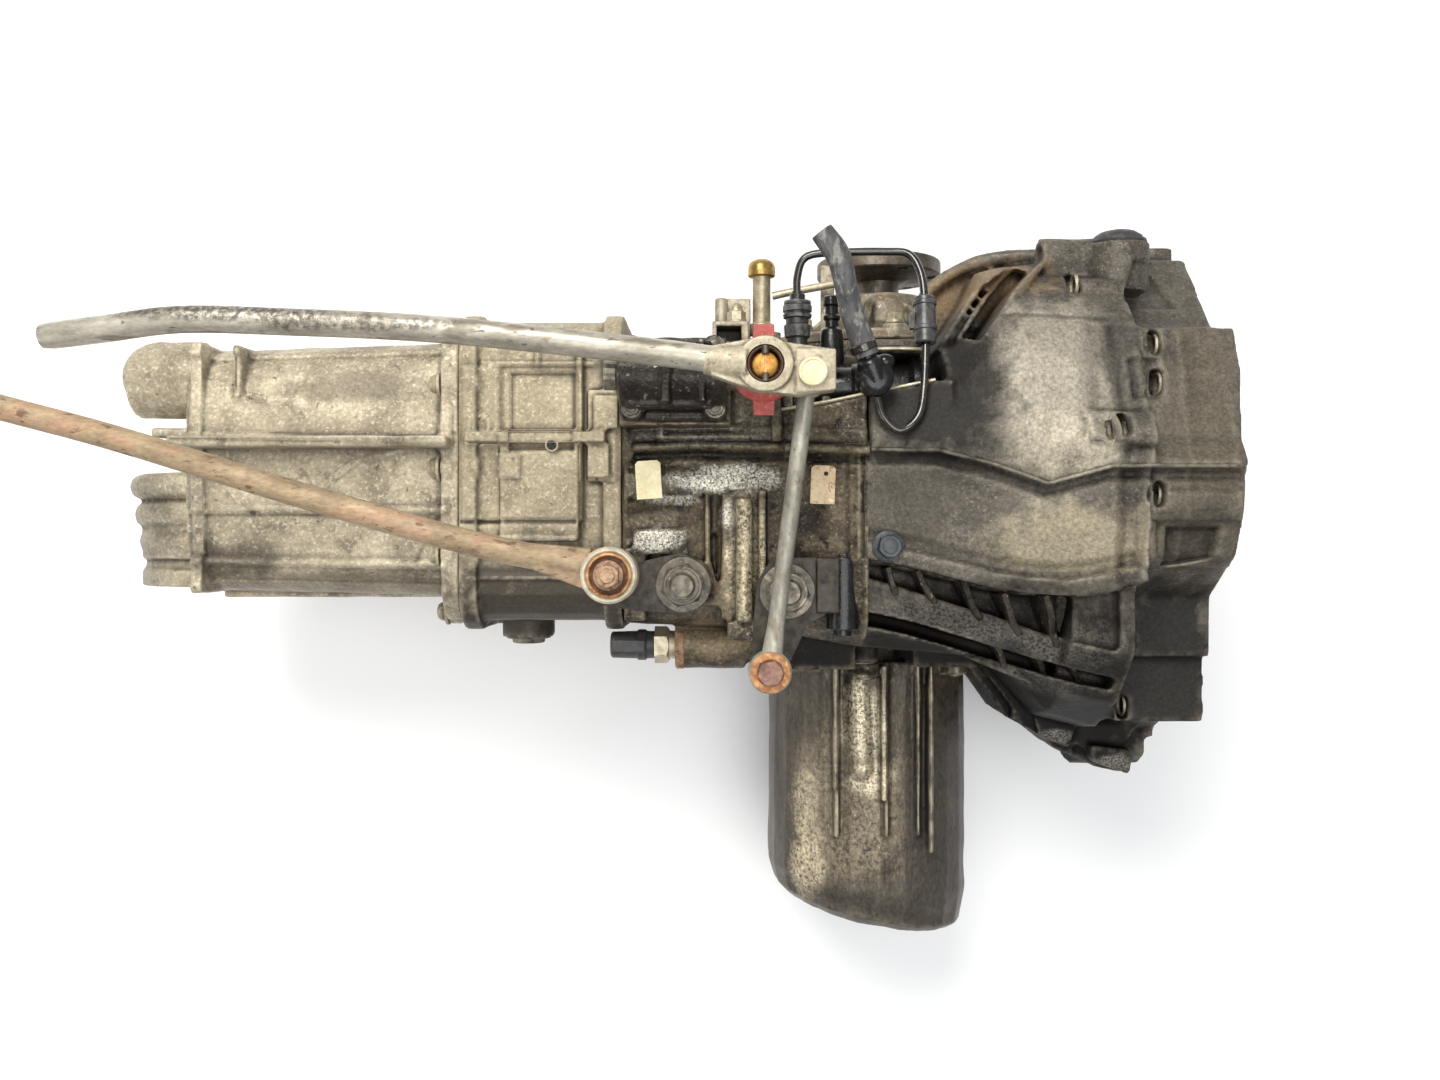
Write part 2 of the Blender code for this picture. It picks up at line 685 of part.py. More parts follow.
def add_hydraulics():
    pipe = (
        (-268, 119, 126), (-268, 134, 127), (-262, 146, 129), (-240, 148, 131), (-214, 148, 133),
        (-199, 146, 135), (-192, 134, 138), (-190, 116, 141), (-190, 90, 145), (-192, 58, 150),
        (-196, 42, 152), (-207, 34, 153), (-217, 42, 153), (-221, 54, 152),
    )
    add_node("hydraulic_pipe", swept(pipe, 2.4, 6), "steel")
    clip = tube(-15, 15, 6.5, 2.8, Vector((0, -1, 0.15)), (-190, 103, 143), 12)
    add_node("pipe_clip", clip, "black_plastic")
    connector = turned(
        [(-22, 5), (-14, 5), (-14, 8.5), (-6, 8.5), (-6, 7), (-2, 7), (-2, 9), (6, 9), (6, 6), (9, 6)],
        "Y", (-268, 109.5, 126), 14,
    )
    add_node("pipe_connector", connector, "black_plastic")
    bleed = turned([(80, 7), (100, 7), (102, 4.5), (116, 4.5), (117, 6), (122, 5)], "Y", (-246, 0, 124), 12)
    add_node("bleed_valve", bleed, "black_plastic")
    fitting = joined(
        turned([(134.3, 9), (147, 9), (149, 11), (157, 11), (159, 6)], "Z", (SPIGOT_AT[0], SLAVE_Y, 0), 14),
        turned([(-2, 7), (12, 7), (13, 5.2), (30, 5.2)], SPIGOT_AXIS, SPIGOT_AT, 12),
    )
    add_node("hose_fitting", fitting, "dark_steel")


def add_clutch_hose():
    """A short stiff rubber hose pushed over the fitting's spigot, cut off at its far end."""
    route = (
        (-227.2, 79.5, 154.8), (-232, 92, 157), (-238, 108, 160),
        (-242, 124, 163), (-246, 138, 165), (-256, 152, 166),
    )
    shape = cut(swept(route, 7.2, 10), turned([(-5, 5.6), (32, 5.6)], SPIGOT_AXIS, SPIGOT_AT, 12))
    add_node("clutch_hose", shape, "rubber")


# Shift linkage


def add_shift_rod():
    route = (
        (-706, 84, 196), (-670, 88, 198), (-626, 93, 200), (-570, 92, 199),
        (-478, 88, 196), (-360, 76, 194), (-312, 70, SHIFT_ROD_Z),
    )
    eye_at = (BALL_X, SELECTOR_Y, 0)
    low, high = SHIFT_ROD_Z - 8, SHIFT_ROD_Z + 8
    web_outline = (
        (-318, 62), (-318, 78), (-296, 82), (-250, 76), (-250, 53), (-272, 50), (-296, 54),
    )
    web = plan_plate(web_outline, low + 1, high - 2)
    shape = joined(
        swept(route, ROD_RADIUS),
        cylinder(low, high, 16, "Z", eye_at, 20),
        web,
    )
    stud = cylinder(low - 9, high + 9, 4.3, "Z", (*STUD_AT[:2], 0), 12)
    shape = cut(shape, cylinder(low - 9, high + 9, 11, "Z", eye_at, 20), stud)
    add_node("shift_rod", shape, "zinc", (*STUD_AT[:2], SHIFT_ROD_Z))


def add_selector_parts():
    axis_at = (BALL_X, SELECTOR_Y, SELECTOR_Z)
    shape = joined(
        cylinder(-388, -276, 9, at=(0, SELECTOR_Y, SELECTOR_Z), segments=16),
        cylinder(SELECTOR_Z, SHIFT_ROD_Z - 6.5, 6, "Z", (BALL_X, SELECTOR_Y, 0), 12),
        cylinder(106, SELECTOR_Z, 5, "Z", (-350, SELECTOR_Y, 0), 12),
    )
    add_node("selector_shaft", shape, "steel", axis_at)
    ball = turned(
        [(-6, 3.5), (-5, 6.2), (0, 8), (5, 6.2), (7, 3)], "Z", (BALL_X, SELECTOR_Y, SHIFT_ROD_Z), 14
    )
    pin = cylinder(-10, 10, 1.9, "Y", (BALL_X, SELECTOR_Y, SHIFT_ROD_Z), 8)
    add_node("joint_ball", joined(ball, pin), "amber_plastic", axis_at)
    cap_z = 171.5
    cap = joined(
        turned([(cap_z, 19.5), (cap_z + 4, 19.5), (cap_z + 9, 13)], "Z", (BALL_X, SELECTOR_Y, 0), 24),
        block((BALL_X - 6, BALL_X + 6), (SELECTOR_Y - 27, SELECTOR_Y + 27), (cap_z, cap_z + 3)),
    )
    cap = cut(cap, cylinder(150, 190, 6.4, "Z", (BALL_X, SELECTOR_Y, 0), 12))
    add_node("joint_dust_cap", cap, "red_plastic", axis_at)


def add_link_parts():
    direction = (Vector(STUD_AT) - Vector(LINK_PIVOT)).normalized()
    start = Vector(LINK_PIVOT) + direction * 8
    end = Vector(STUD_AT) - direction * 7
    shape = joined(
        swept([start, start.lerp(end, 0.3), start.lerp(end, 0.7), end], 5.2),
        cylinder(LINK_Z - 6, LINK_Z + 6, 13, "Z", (*LINK_PIVOT[:2], 0), 20),
        cylinder(LINK_Z - 5.5, LINK_Z + 5.5, 10, "Z", (*STUD_AT[:2], 0), 18),
    )
    shape = cut(
        shape,
        cylinder(LINK_Z - 20, LINK_Z + 20, 5.4, "Z", (*LINK_PIVOT[:2], 0), 12),
        cylinder(LINK_Z - 20, LINK_Z + 20, 7.6, "Z", (*STUD_AT[:2], 0), 14),
    )
    add_node("link_rod", shape, "zinc", LINK_PIVOT)
    top = SHIFT_ROD_Z + 8.3
    stud_profile = [
        (LINK_Z - 5, 3.5), (LINK_Z, 6.2), (LINK_Z + 5, 4),
        (top + 1, 4), (top, 7.5), (top + 2.5, 7.5), (top + 3, 6),
    ]
    stud = turned(stud_profile, "Z", (*STUD_AT[:2], 0), 14)
    add_node("link_ball_stud", stud, "zinc", STUD_AT)


def add_support_rod():
    path = ((-395, -50), (-413, -46), (-470, -34), (-569, -6), (-680, 28), (-747, 46), (-790, 58))
    route = [(x, y, LINK_Z) for x, y in path]
    bush = (*BUSH_AT[:2], 0)
    shape = joined(
        swept(route, ROD_RADIUS),
        cylinder(LINK_Z - 11, LINK_Z + 11, 17, "Z", bush, 24),
        plan_plate(((-396, -62), (-396, -40), (-424, -36), (-424, -51)), LINK_Z - 6, LINK_Z + 6),
    )
    shape = cut(shape, cylinder(LINK_Z - 30, LINK_Z + 30, 13.4, "Z", bush, 20))
    add_node("support_rod", shape, "rusty", BUSH_AT)
    ring = tube(LINK_Z - 12, LINK_Z + 12, 13, 5.4, "Z", bush, 20)
    add_node("support_rod_bush", ring, "rubber", BUSH_AT)


# Gear train


def idler_centre():
    """(y, z) of the reverse idler, which meshes with both shafts' reverse gears."""
    to_input = (REVERSE_DRIVE_TEETH + REVERSE_IDLER_TEETH) * MODULE / 2
    to_pinion = (REVERSE_DRIVEN_TEETH + REVERSE_IDLER_TEETH) * MODULE / 2
    below = (to_input**2 - to_pinion**2 + SHAFT_DISTANCE**2) / (2 * SHAFT_DISTANCE)
    return math.sqrt(to_input**2 - below**2), -below


def gear_span(middle, side):
    """The X range of the gear on one side of a synchroniser; side is +1 towards the engine."""
    near, far = middle + side * GEAR_OFFSET, middle + side * (GEAR_OFFSET + GEAR_WIDTH)
    return min(near, far), max(near, far)


def facing_phase(teeth):
    """Turns a driven gear so that a gap faces the input shaft, straight above it."""
    return math.pi / 2 + math.pi / teeth


def reverse_phases():
    """Phases of the reverse drive, idler and driven gears that let their teeth interleave."""
    y, z = idler_centre()
    to_idler = math.atan2(z, y)
    idler = to_idler + math.pi + math.pi / REVERSE_IDLER_TEETH
    to_driven = math.atan2(AXLE_Z - z, -y)
    idler_pitch = 2 * math.pi / REVERSE_IDLER_TEETH
    driven_pitch = 2 * math.pi / REVERSE_DRIVEN_TEETH
    offset = (idler - to_driven) / idler_pitch
    driven = to_driven + math.pi - offset * driven_pitch + driven_pitch / 2
    return to_idler, idler, driven


def add_input_shaft():
    profile = [
        (-644, 14.6), (-418, 14.6), (-302, 14), (-302, 12.5), (-272, 12.5),
        (-272, 11), (-64, 11), (-60, 9), (-10, 9), (-8, 7),
    ]
    shape = turned(profile, segments=16)
    drives = (
        (10, gear_span(SYNCHRO_12_X, 1), -math.pi / 2),
        (15, gear_span(SYNCHRO_12_X, -1), -math.pi / 2),
        (23, gear_span(SYNCHRO_5R_X, 1), -math.pi / 2),
        (REVERSE_DRIVE_TEETH, gear_span(SYNCHRO_5R_X, -1), reverse_phases()[0]),
    )
    for teeth, span, phase in drives:
        shape = joined(shape, spur_gear(teeth, *span, phase=phase))
    hub = cylinder(SYNCHRO_34_X - 10, SYNCHRO_34_X + 10, 32, segments=16)
    add_node("input_shaft", joined(shape, hub), "gear_steel")


def add_pinion_shaft():
    axis = (0, 0, AXLE_Z)
    profile = [(-644, 15.6), (-302, 15.6), (-302, 20.4), (-275.5, 20.4), (-275.5, 14), (-262, 14)]
    shape = turned(profile, at=axis, segments=16)
    pitch_angle = math.atan2(PINION_TEETH, RING_TEETH)
    outer = RING_PITCH_RADIUS / math.cos(pitch_angle)
    turn = math.pi / PINION_TEETH
    rings = []
    for ring in bevel_rings(PINION_TEETH, pitch_angle, (outer, 0.68 * outer)):
        rings.append(
            [
                (
                    AXLE_X - along,
                    side * math.cos(turn) - up * math.sin(turn),
                    AXLE_Z + side * math.sin(turn) + up * math.cos(turn),
                )
                for along, side, up in ring
            ]
        )
    shape = joined(
        shape,
        loft(rings),
        cylinder(SYNCHRO_12_X - 10, SYNCHRO_12_X + 10, 32, at=axis),
        cylinder(SYNCHRO_5R_X - 10, SYNCHRO_5R_X + 10, 32, at=axis),
        spur_gear(24, *gear_span(SYNCHRO_34_X, 1), at=axis, phase=facing_phase(24)),
        spur_gear(21, *gear_span(SYNCHRO_34_X, -1), at=axis, phase=facing_phase(21)),
    )
    add_node("pinion_shaft", shape, "gear_steel", axis)


def add_loose_gear(name, teeth, synchro, side, phase, bore):
    """A gear that turns freely on its shaft, with the ring that its synchroniser's sleeve slides over."""
    middle, height = SYNCHROS[synchro]
    at = (0, 0, height)
    face = middle + side * GEAR_OFFSET
    gear = spur_gear(teeth, *gear_span(middle, side), at=at, phase=phase)
    neck = [(face + side, 24), (face - side * 0.5, 24)]
    dog_ring = [(face - side * 0.5, DOG_RING_RADIUS), (middle + side * 13.5, DOG_RING_RADIUS)]
    shape = cut(
        joined(gear, turned(neck + dog_ring, at=at, segments=16)),
        cylinder(middle - 60, middle + 60, bore, at=at, segments=16),
    )
    add_node(name, shape, "gear_steel", (middle, 0, height))


def add_gears():
    down = -math.pi / 2
    add_loose_gear("driven_gear_1", 32, "12", 1, facing_phase(32), 16)
    add_loose_gear("driven_gear_2", 27, "12", -1, facing_phase(27), 16)
    add_loose_gear("drive_gear_3", 18, "34", 1, down, 15)
    add_loose_gear("drive_gear_4", 21, "34", -1, down, 15)
    add_loose_gear("driven_gear_5", 19, "5r", 1, facing_phase(19), 16)
    _, idler_phase, driven_phase = reverse_phases()
    add_loose_gear("driven_gear_reverse", REVERSE_DRIVEN_TEETH, "5r", -1, driven_phase, 16)
    y, z = idler_centre()
    low, high = gear_span(SYNCHRO_5R_X, -1)
    idler = spur_gear(REVERSE_IDLER_TEETH, low, high, (0, y, z), idler_phase)
    idler = cut(idler, cylinder(low - 4, high + 4, 8.4, at=(0, y, z), segments=16))
    add_node("reverse_idler_gear", idler, "gear_steel", (low, y, z))
    add_node("reverse_idler_shaft", cylinder(-652, high + 4, 8, at=(0, y, z), segments=16), "steel")


def add_synchro_sleeves():
    for pair, (x, z) in SYNCHROS.items():
        profile = [
            (-SLEEVE_HALF, 33), (-SLEEVE_HALF, 42), (-4.4, 42), (-4.4, 37),
            (4.4, 37), (4.4, 42), (SLEEVE_HALF, 42), (SLEEVE_HALF, 33),
        ]
        shape = turned(profile, at=(x, 0, z), segments=16, ring=True)
        add_node(f"synchro_sleeve_{pair}", shape, "steel", (x, 0, z))


def add_shift_forks():
    for pair, (x, z) in SYNCHROS.items():
        rail_y, rail_z = RAILS[pair]
        lean = math.atan2(rail_z - z, rail_y)
        sweep = [lean + math.radians(-80 + 16 * i) for i in range(11)]
        outline = [(48 * math.cos(a), z + 48 * math.sin(a)) for a in sweep]
        outline += [(38 * math.cos(a), z + 38 * math.sin(a)) for a in reversed(sweep)]
        out = Vector((math.cos(lean), math.sin(lean)))
        across = Vector((-out.y, out.x)) * 8
        foot = Vector((0, z)) + out * 44
        rail = Vector((rail_y, rail_z))
        arm = (foot - across, rail - across, rail + across, foot + across)
        shape = joined(
            loft([[(level, y, h) for y, h in outline] for level in (x - 3.2, x + 3.2)]),
            loft([[(level, y, h) for y, h in arm] for level in (x - 2.8, x + 2.8)]),
            cylinder(x - 10, x + 10, 10, at=(0, rail_y, rail_z), segments=12),
            cylinder(*RAIL_SPANS[pair], 6, at=(0, rail_y, rail_z), segments=12),
        )
        add_node(f"shift_fork_{pair}", shape, "brass", (x, rail_y, rail_z))


# Differential


def add_differential():
    axle = (AXLE_X, 0, AXLE_Z)
    pitch_angle = math.atan2(RING_TEETH, PINION_TEETH)
    outer = RING_PITCH_RADIUS / math.sin(pitch_angle)
    toothed = [
        [(AXLE_X - side, along, AXLE_Z + up) for along, side, up in ring]
        for ring in bevel_rings(RING_TEETH, pitch_angle, (outer, 0.7 * outer))
    ]
    back = [(x, 41.6, z) for x, _, z in toothed[0]]
    ring_gear = cut(loft([back, toothed[0], toothed[1]]), cylinder(0, 60, 48, "Y", axle, 18))
    add_node("ring_gear", ring_gear, "gear_steel", axle)
    case_profile = [
        (-73, 20), (-52, 20), (-50, 34), (-42, 46), (42, 46),
        (42, 72), (52, 72), (54, 30), (56, 22), (83, 22),
    ]
    case = turned(case_profile, "Y", axle, 20)
    case = cut(
        case,
        cylinder(-80, 90, 15, "Y", axle, 16),
        cylinder(-36, 36, 37, "Y", axle, 18),
        block((AXLE_X - 60, AXLE_X + 60), (-17, 17), (AXLE_Z - 21, AXLE_Z + 21)),
    )
    add_node("differential_case", case, "cast_dark", axle)
    flange_profile = [
        (17, 12), (32, 29), (33, 16), (33, 13.6), (170, 13.6), (172, 24),
        (176, 30), (176, 49), (188, 49), (188, 20), (182, 18),
    ]
    left = turned(flange_profile, "Y", axle, 18)
    right = turned([(min(d, 33 + (d - 33) * 0.7676), r) for d, r in flange_profile], (0, -1, 0), axle, 20)
    for name, shape, face in (("drive_flange_left", left, 190), ("drive_flange_right", right, -155)):
        shape = cut(shape, *flange_holes(face))
        add_node(name, shape, "dark_steel", axle)
    for name, low, high, outside, inside in (
        ("differential_bearing_left", 60, 80, 30, 22.5),
        ("differential_bearing_right", -72, -54, 28, 20.5),
    ):
        add_node(name, tube(low, high, outside, inside, "Y", axle, 18), "steel", axle)
    for name, at, outside, inside in (
        ("input_shaft_bearing", (0, 0, 0), 30, 13),
        ("pinion_shaft_bearing", (0, 0, AXLE_Z), 40, 21),
    ):
        add_node(name, tube(-298, -278, outside, inside, at=at, segments=16), "steel", at)


def flange_holes(face):
    for i in range(6):
        angle = math.pi * (i + 0.5) / 3
        at = (AXLE_X + 40 * math.cos(angle), face, AXLE_Z + 40 * math.sin(angle))
        yield cylinder(-25, 25, 4.2, "Y", at, 6)


def main():
    clear_scene()
    add_frame()
    add_gearbox_housing()
    add_bearing_housing()
    add_rear_cover()
    add_diff_side_cover()
    add_selector_cover()
    add_heat_shield()
    add_shield_bolts()
    add_support_bracket()
    add_bracket_nuts()
    add_pivot_bolts()
    add_small_fittings()
    add_clutch_release()
    add_hydraulics()
    add_clutch_hose()
    add_shift_rod()
    add_selector_parts()
    add_link_parts()
    add_support_rod()
    add_input_shaft()
    add_pinion_shaft()
    add_gears()
    add_synchro_sleeves()
    add_shift_forks()
    add_differential()


main()
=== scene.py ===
"""The look of the five-speed manual transaxle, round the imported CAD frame.

Shapes are written in millimetres in the gearbox's own frame, as in the part: the origin is where the
input shaft's axis meets the engine face, +X towards the engine, +Y to the vehicle's left, +Z up.
"""

import math

import bmesh
import bpy
import numpy as np
from mathutils import Matrix, Vector


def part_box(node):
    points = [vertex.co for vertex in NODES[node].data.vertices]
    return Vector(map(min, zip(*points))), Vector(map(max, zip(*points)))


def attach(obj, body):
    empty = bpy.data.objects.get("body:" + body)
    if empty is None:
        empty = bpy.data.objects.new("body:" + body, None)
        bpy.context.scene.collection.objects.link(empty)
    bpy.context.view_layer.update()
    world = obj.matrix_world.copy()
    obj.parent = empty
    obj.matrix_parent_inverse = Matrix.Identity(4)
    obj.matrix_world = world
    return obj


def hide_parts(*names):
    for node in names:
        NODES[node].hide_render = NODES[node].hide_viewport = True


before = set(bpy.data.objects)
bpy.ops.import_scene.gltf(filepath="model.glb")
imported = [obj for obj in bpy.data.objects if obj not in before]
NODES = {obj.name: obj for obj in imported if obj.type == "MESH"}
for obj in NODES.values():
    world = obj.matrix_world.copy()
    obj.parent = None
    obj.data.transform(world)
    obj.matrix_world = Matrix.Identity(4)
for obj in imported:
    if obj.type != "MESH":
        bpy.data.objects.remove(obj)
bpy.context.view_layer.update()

MM = 0.001
FLANGE_RADIUS = 178.0
REST_Z = -178.0
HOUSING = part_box("gearbox_housing")
ORIGIN = Vector((HOUSING[1].x, HOUSING[1].y - FLANGE_RADIUS * MM, HOUSING[0].z - REST_Z * MM))
TO_WORLD = Matrix.Translation(ORIGIN) @ Matrix.Scale(MM, 4)
CAMERA_AT = (-317.0, -33.0, 883.0)
CAMERA_LENS = 29.875
MOST_FACES = 190000

# Places in plan, as (x, y), that several pieces share
BALL_JOINT = (-291, 68)
LINK_STUD = (-264, 63)
LINK_PIVOT = (-287, -112)
SUPPORT_EYE = (-383, -54)
BRACKET_STUDS = {"rear": (-340, -61), "front": (-275, -65)}
SELECTOR_COVER_BOLTS = ((-372, 49), (-372, 87), (-320, 49), (-320, 87))

# Axes that run along X, as (0, y, z), and the rear cover's bolts, as (y, z)
SWITCH = (0, -105, 60)
SLAVE = (0, 66, 108)
COVER_BOLTS = (
    (71, 84), (15, 86), (-42, 86), (-82, 60), (-86, 0), (-86, -60), (-84, -120), (-40, -142), (20, -142),
    (80, -142), (108, -110), (110, -50), (110, 10), (108, 58),
)

# The seam of the bell and the case, the axle, the bolts round it and the height of the shift link
SEAM_X = -224.0
AXLE = (-190.0, 0.0, -75.0)
SIDE_COVER_BOLTS = 8
SIDE_COVER_BOLT_CIRCLE = 90
LINK_Z = 165


# Shapes: each returns a bmesh in millimetres in the gearbox's frame


def loft(rings, closed=False):
    shape = bmesh.new()
    rows = [[shape.verts.new(point) for point in ring] for ring in rings]
    count = len(rows[0])
    pairs = list(zip(rows, rows[1:])) + ([(rows[-1], rows[0])] if closed else [])
    for low, high in pairs:
        for i in range(count):
            j = (i + 1) % count
            shape.faces.new((low[i], low[j], high[j], high[i]))
    if not closed:
        shape.faces.new(rows[0])
        shape.faces.new(rows[-1])
    bmesh.ops.recalc_face_normals(shape, faces=shape.faces)
    return shape


AXES = {"X": (1, 0, 0), "Y": (0, 1, 0), "Z": (0, 0, 1)}


def axes_of(axis):
    along = Vector(AXES[axis] if isinstance(axis, str) else axis).normalized()
    side = Vector((0, 0, 1)).cross(along)
    if side.length < 1e-6:
        side = Vector((1, 0, 0))
    side.normalize()
    return along, side, along.cross(side)


def turned(profile, axis, at, segments, ring=False):
    along, side, up = axes_of(axis)
    rings = []
    for distance, radius in profile:
        turns = (2.0 * math.pi * i / segments for i in range(segments))
        spokes = [side * math.cos(a) + up * math.sin(a) for a in turns]
        rings.append([Vector(at) + along * distance + spoke * radius for spoke in spokes])
    return loft(rings, closed=ring)


def cylinder(start, end, radius, axis, at, segments=40):
    return turned([(start, radius), (end, radius)], axis, at, segments)


def tube(start, end, outer, inner, axis, at, segments, chamfer=0.5):
    c = chamfer
    profile = [
        (start + c, inner), (start, inner + c), (start, outer - c), (start + c, outer),
        (end - c, outer), (end, outer - c), (end, inner + c), (end - c, inner),
    ]
    return turned(profile, axis, at, segments, ring=True)


def prism(outline, low, high, axis, at=(0, 0, 0)):
    along, side, up = axes_of(axis)
    base = Vector(at)
    rings = [[base + along * level + side * a + up * b for a, b in outline] for level in (low, high)]
    return loft(rings)


def block(x, y, z):
    outline = [(x[0], y[0]), (x[1], y[0]), (x[1], y[1]), (x[0], y[1])]
    return loft([[(a, b, level) for a, b in outline] for level in z])


def plate(outline, low, high):
    return loft([[(x, y, level) for x, y in outline] for level in (low, high)])


def smooth_route(points, steps):
    points = [Vector(p) for p in points]
    ends = [points[0] * 2 - points[1]] + points + [points[-1] * 2 - points[-2]]
    route = []
    for a, b, c, d in zip(ends, ends[1:], ends[2:], ends[3:]):
        for i in range(steps):
            t = i / steps
            spot = 2 * b + (c - a) * t + (2 * a - 5 * b + 4 * c - d) * t**2
            route.append((spot + (3 * b - a - 3 * c + d) * t**3) / 2)
    route.append(points[-1])
    return route


def swept(points, radius, sides, steps=6):
    """A bar along a smooth curve; radius is a number or a function of the share of the way along."""
    route = smooth_route(points, steps)
    side = Vector((0, 0, 1))
    rings = []
    for i, point in enumerate(route):
        ahead = route[min(i + 1, len(route) - 1)] - route[max(i - 1, 0)]
        along = ahead.normalized()
        side = (side - along * side.dot(along)).normalized()
        across = along.cross(side)
        share = i / (len(route) - 1)
        size = radius(share) if callable(radius) else radius
        turns = (2.0 * math.pi * k / sides for k in range(sides))
        rings.append([point + (side * math.cos(a) + across * math.sin(a)) * size for a in turns])
    return loft(rings)


def hexagon(across_flats, turn=0.0):
    radius = across_flats / math.sqrt(3.0)
    return [
        (radius * math.cos(turn + k * math.pi / 3.0), radius * math.sin(turn + k * math.pi / 3.0))
        for k in range(6)
    ]


def ball(at, radii, segments=24):
    """An ellipsoid."""
    shape = bmesh.new()
    bmesh.ops.create_uvsphere(shape, u_segments=segments, v_segments=segments // 2, radius=1.0)
    x, y, z = radii if isinstance(radii, tuple) else (radii,) * 3
    place = Matrix.Translation(at) @ Matrix.Diagonal((x, y, z, 1))
    bmesh.ops.transform(shape, matrix=place, verts=shape.verts)
    return shape


def merged(*shapes):
    """One bmesh holding all the given shells."""
    whole = bmesh.new()
    for shape in shapes:
        mesh = bpy.data.meshes.new("shell")
        shape.to_mesh(mesh)
        shape.free()
        whole.from_mesh(mesh)
        bpy.data.meshes.remove(mesh)
    return whole


def boolean(target, tool, operation):
    objects = []
    for source in (target, tool):
        mesh = bpy.data.meshes.new("boolean")
        source.to_mesh(mesh)
        source.free()
        obj = bpy.data.objects.new("boolean", mesh)
        bpy.context.collection.objects.link(obj)
        objects.append(obj)
    modifier = objects[0].modifiers.new("boolean", "BOOLEAN")
    modifier.operation = operation
    modifier.object = objects[1]
    result = bmesh.new()
    result.from_object(objects[0], bpy.context.evaluated_depsgraph_get())
    for obj in objects:
        mesh = obj.data
        bpy.data.objects.remove(obj)
        bpy.data.meshes.remove(mesh)
    return result


def cut(shape, *tools):
    for tool in tools:
        shape = boolean(shape, tool, "DIFFERENCE")
    return shape


def hexed(height, across_flats, axis, at, low=0.0, turn=0.0):
    """A hexagon whose far corners are turned down, as on a nut or a bolt head."""
    radius = across_flats / math.sqrt(3.0)
    body = prism(hexagon(across_flats, turn), low, low + height, axis, at)
    corners = [
        (low - 1, radius + 1), (low + height - radius * 0.16, radius + 0.3), (low + height, radius * 0.84),
    ]
    return boolean(body, turned(corners, axis, at, 48), "INTERSECT")


# Procedural materials. Sizes in them are millimetres.


def node(tree, kind, values=None, **settings):
    made = tree.nodes.new("ShaderNode" + kind)
    for key, value in settings.items():
        setattr(made, key, value)
    for key, value in (values or {}).items():
        if isinstance(value, bpy.types.NodeSocket):
            tree.links.new(value, made.inputs[key])
        else:
            made.inputs[key].default_value = value
    return made


def noise_of(tree, coord, size, detail, rough=0.55, distortion=0.0):
    values = {
        "Vector": coord, "Scale": 1000.0 / size, "Detail": detail, "Roughness": rough,
        "Distortion": distortion,
    }
    return node(tree, "TexNoise", values).outputs["Fac"]


def ranged(tree, value, low, high, start=0.0, end=1.0):
    values = {"Value": value, "From Min": low, "From Max": high, "To Min": start, "To Max": end}
    return node(tree, "MapRange", values).outputs["Result"]


def mixed(tree, share, a, b):
    made = node(tree, "Mix", data_type="RGBA")
    for index, value in ((0, share), (6, a), (7, b)):
        if isinstance(value, bpy.types.NodeSocket):
            tree.links.new(value, made.inputs[index])
        else:
            made.inputs[index].default_value = (*value, 1.0) if index else value
    return made.outputs[2]


def math_of(tree, operation, a, b):
    return node(tree, "Math", {0: a, 1: b}, operation=operation).outputs[0]


def tint(colour):
    """A colour given in 0 to 255 display values."""
    return tuple(((v / 255 + 0.055) / 1.055) ** 2.4 for v in colour)


def within_zone(tree, coord, centre, radii, speckle):
    """1 inside a ragged ellipsoid; speckle breaks it up into flecks of that size."""
    spot = TO_WORLD @ Vector(centre)
    away = node(tree, "VectorMath", {0: coord, 1: spot}, operation="SUBTRACT").outputs[0]
    scaled = node(
        tree, "VectorMath", {0: away, 1: tuple(1000.0 / r for r in radii)}, operation="MULTIPLY",
    ).outputs[0]
    length = node(tree, "VectorMath", {0: scaled}, operation="LENGTH").outputs["Value"]
    ragged = math_of(tree, "ADD", length, ranged(tree, noise_of(tree, coord, 14, 6), 0.2, 0.8, -0.45, 0.45))
    share = ranged(tree, ragged, 1.25, 0.75)
    if speckle:
        share = math_of(
            tree, "MULTIPLY", share, ranged(tree, noise_of(tree, coord, speckle, 3, 0.7), 0.38, 0.56),
        )
    return share


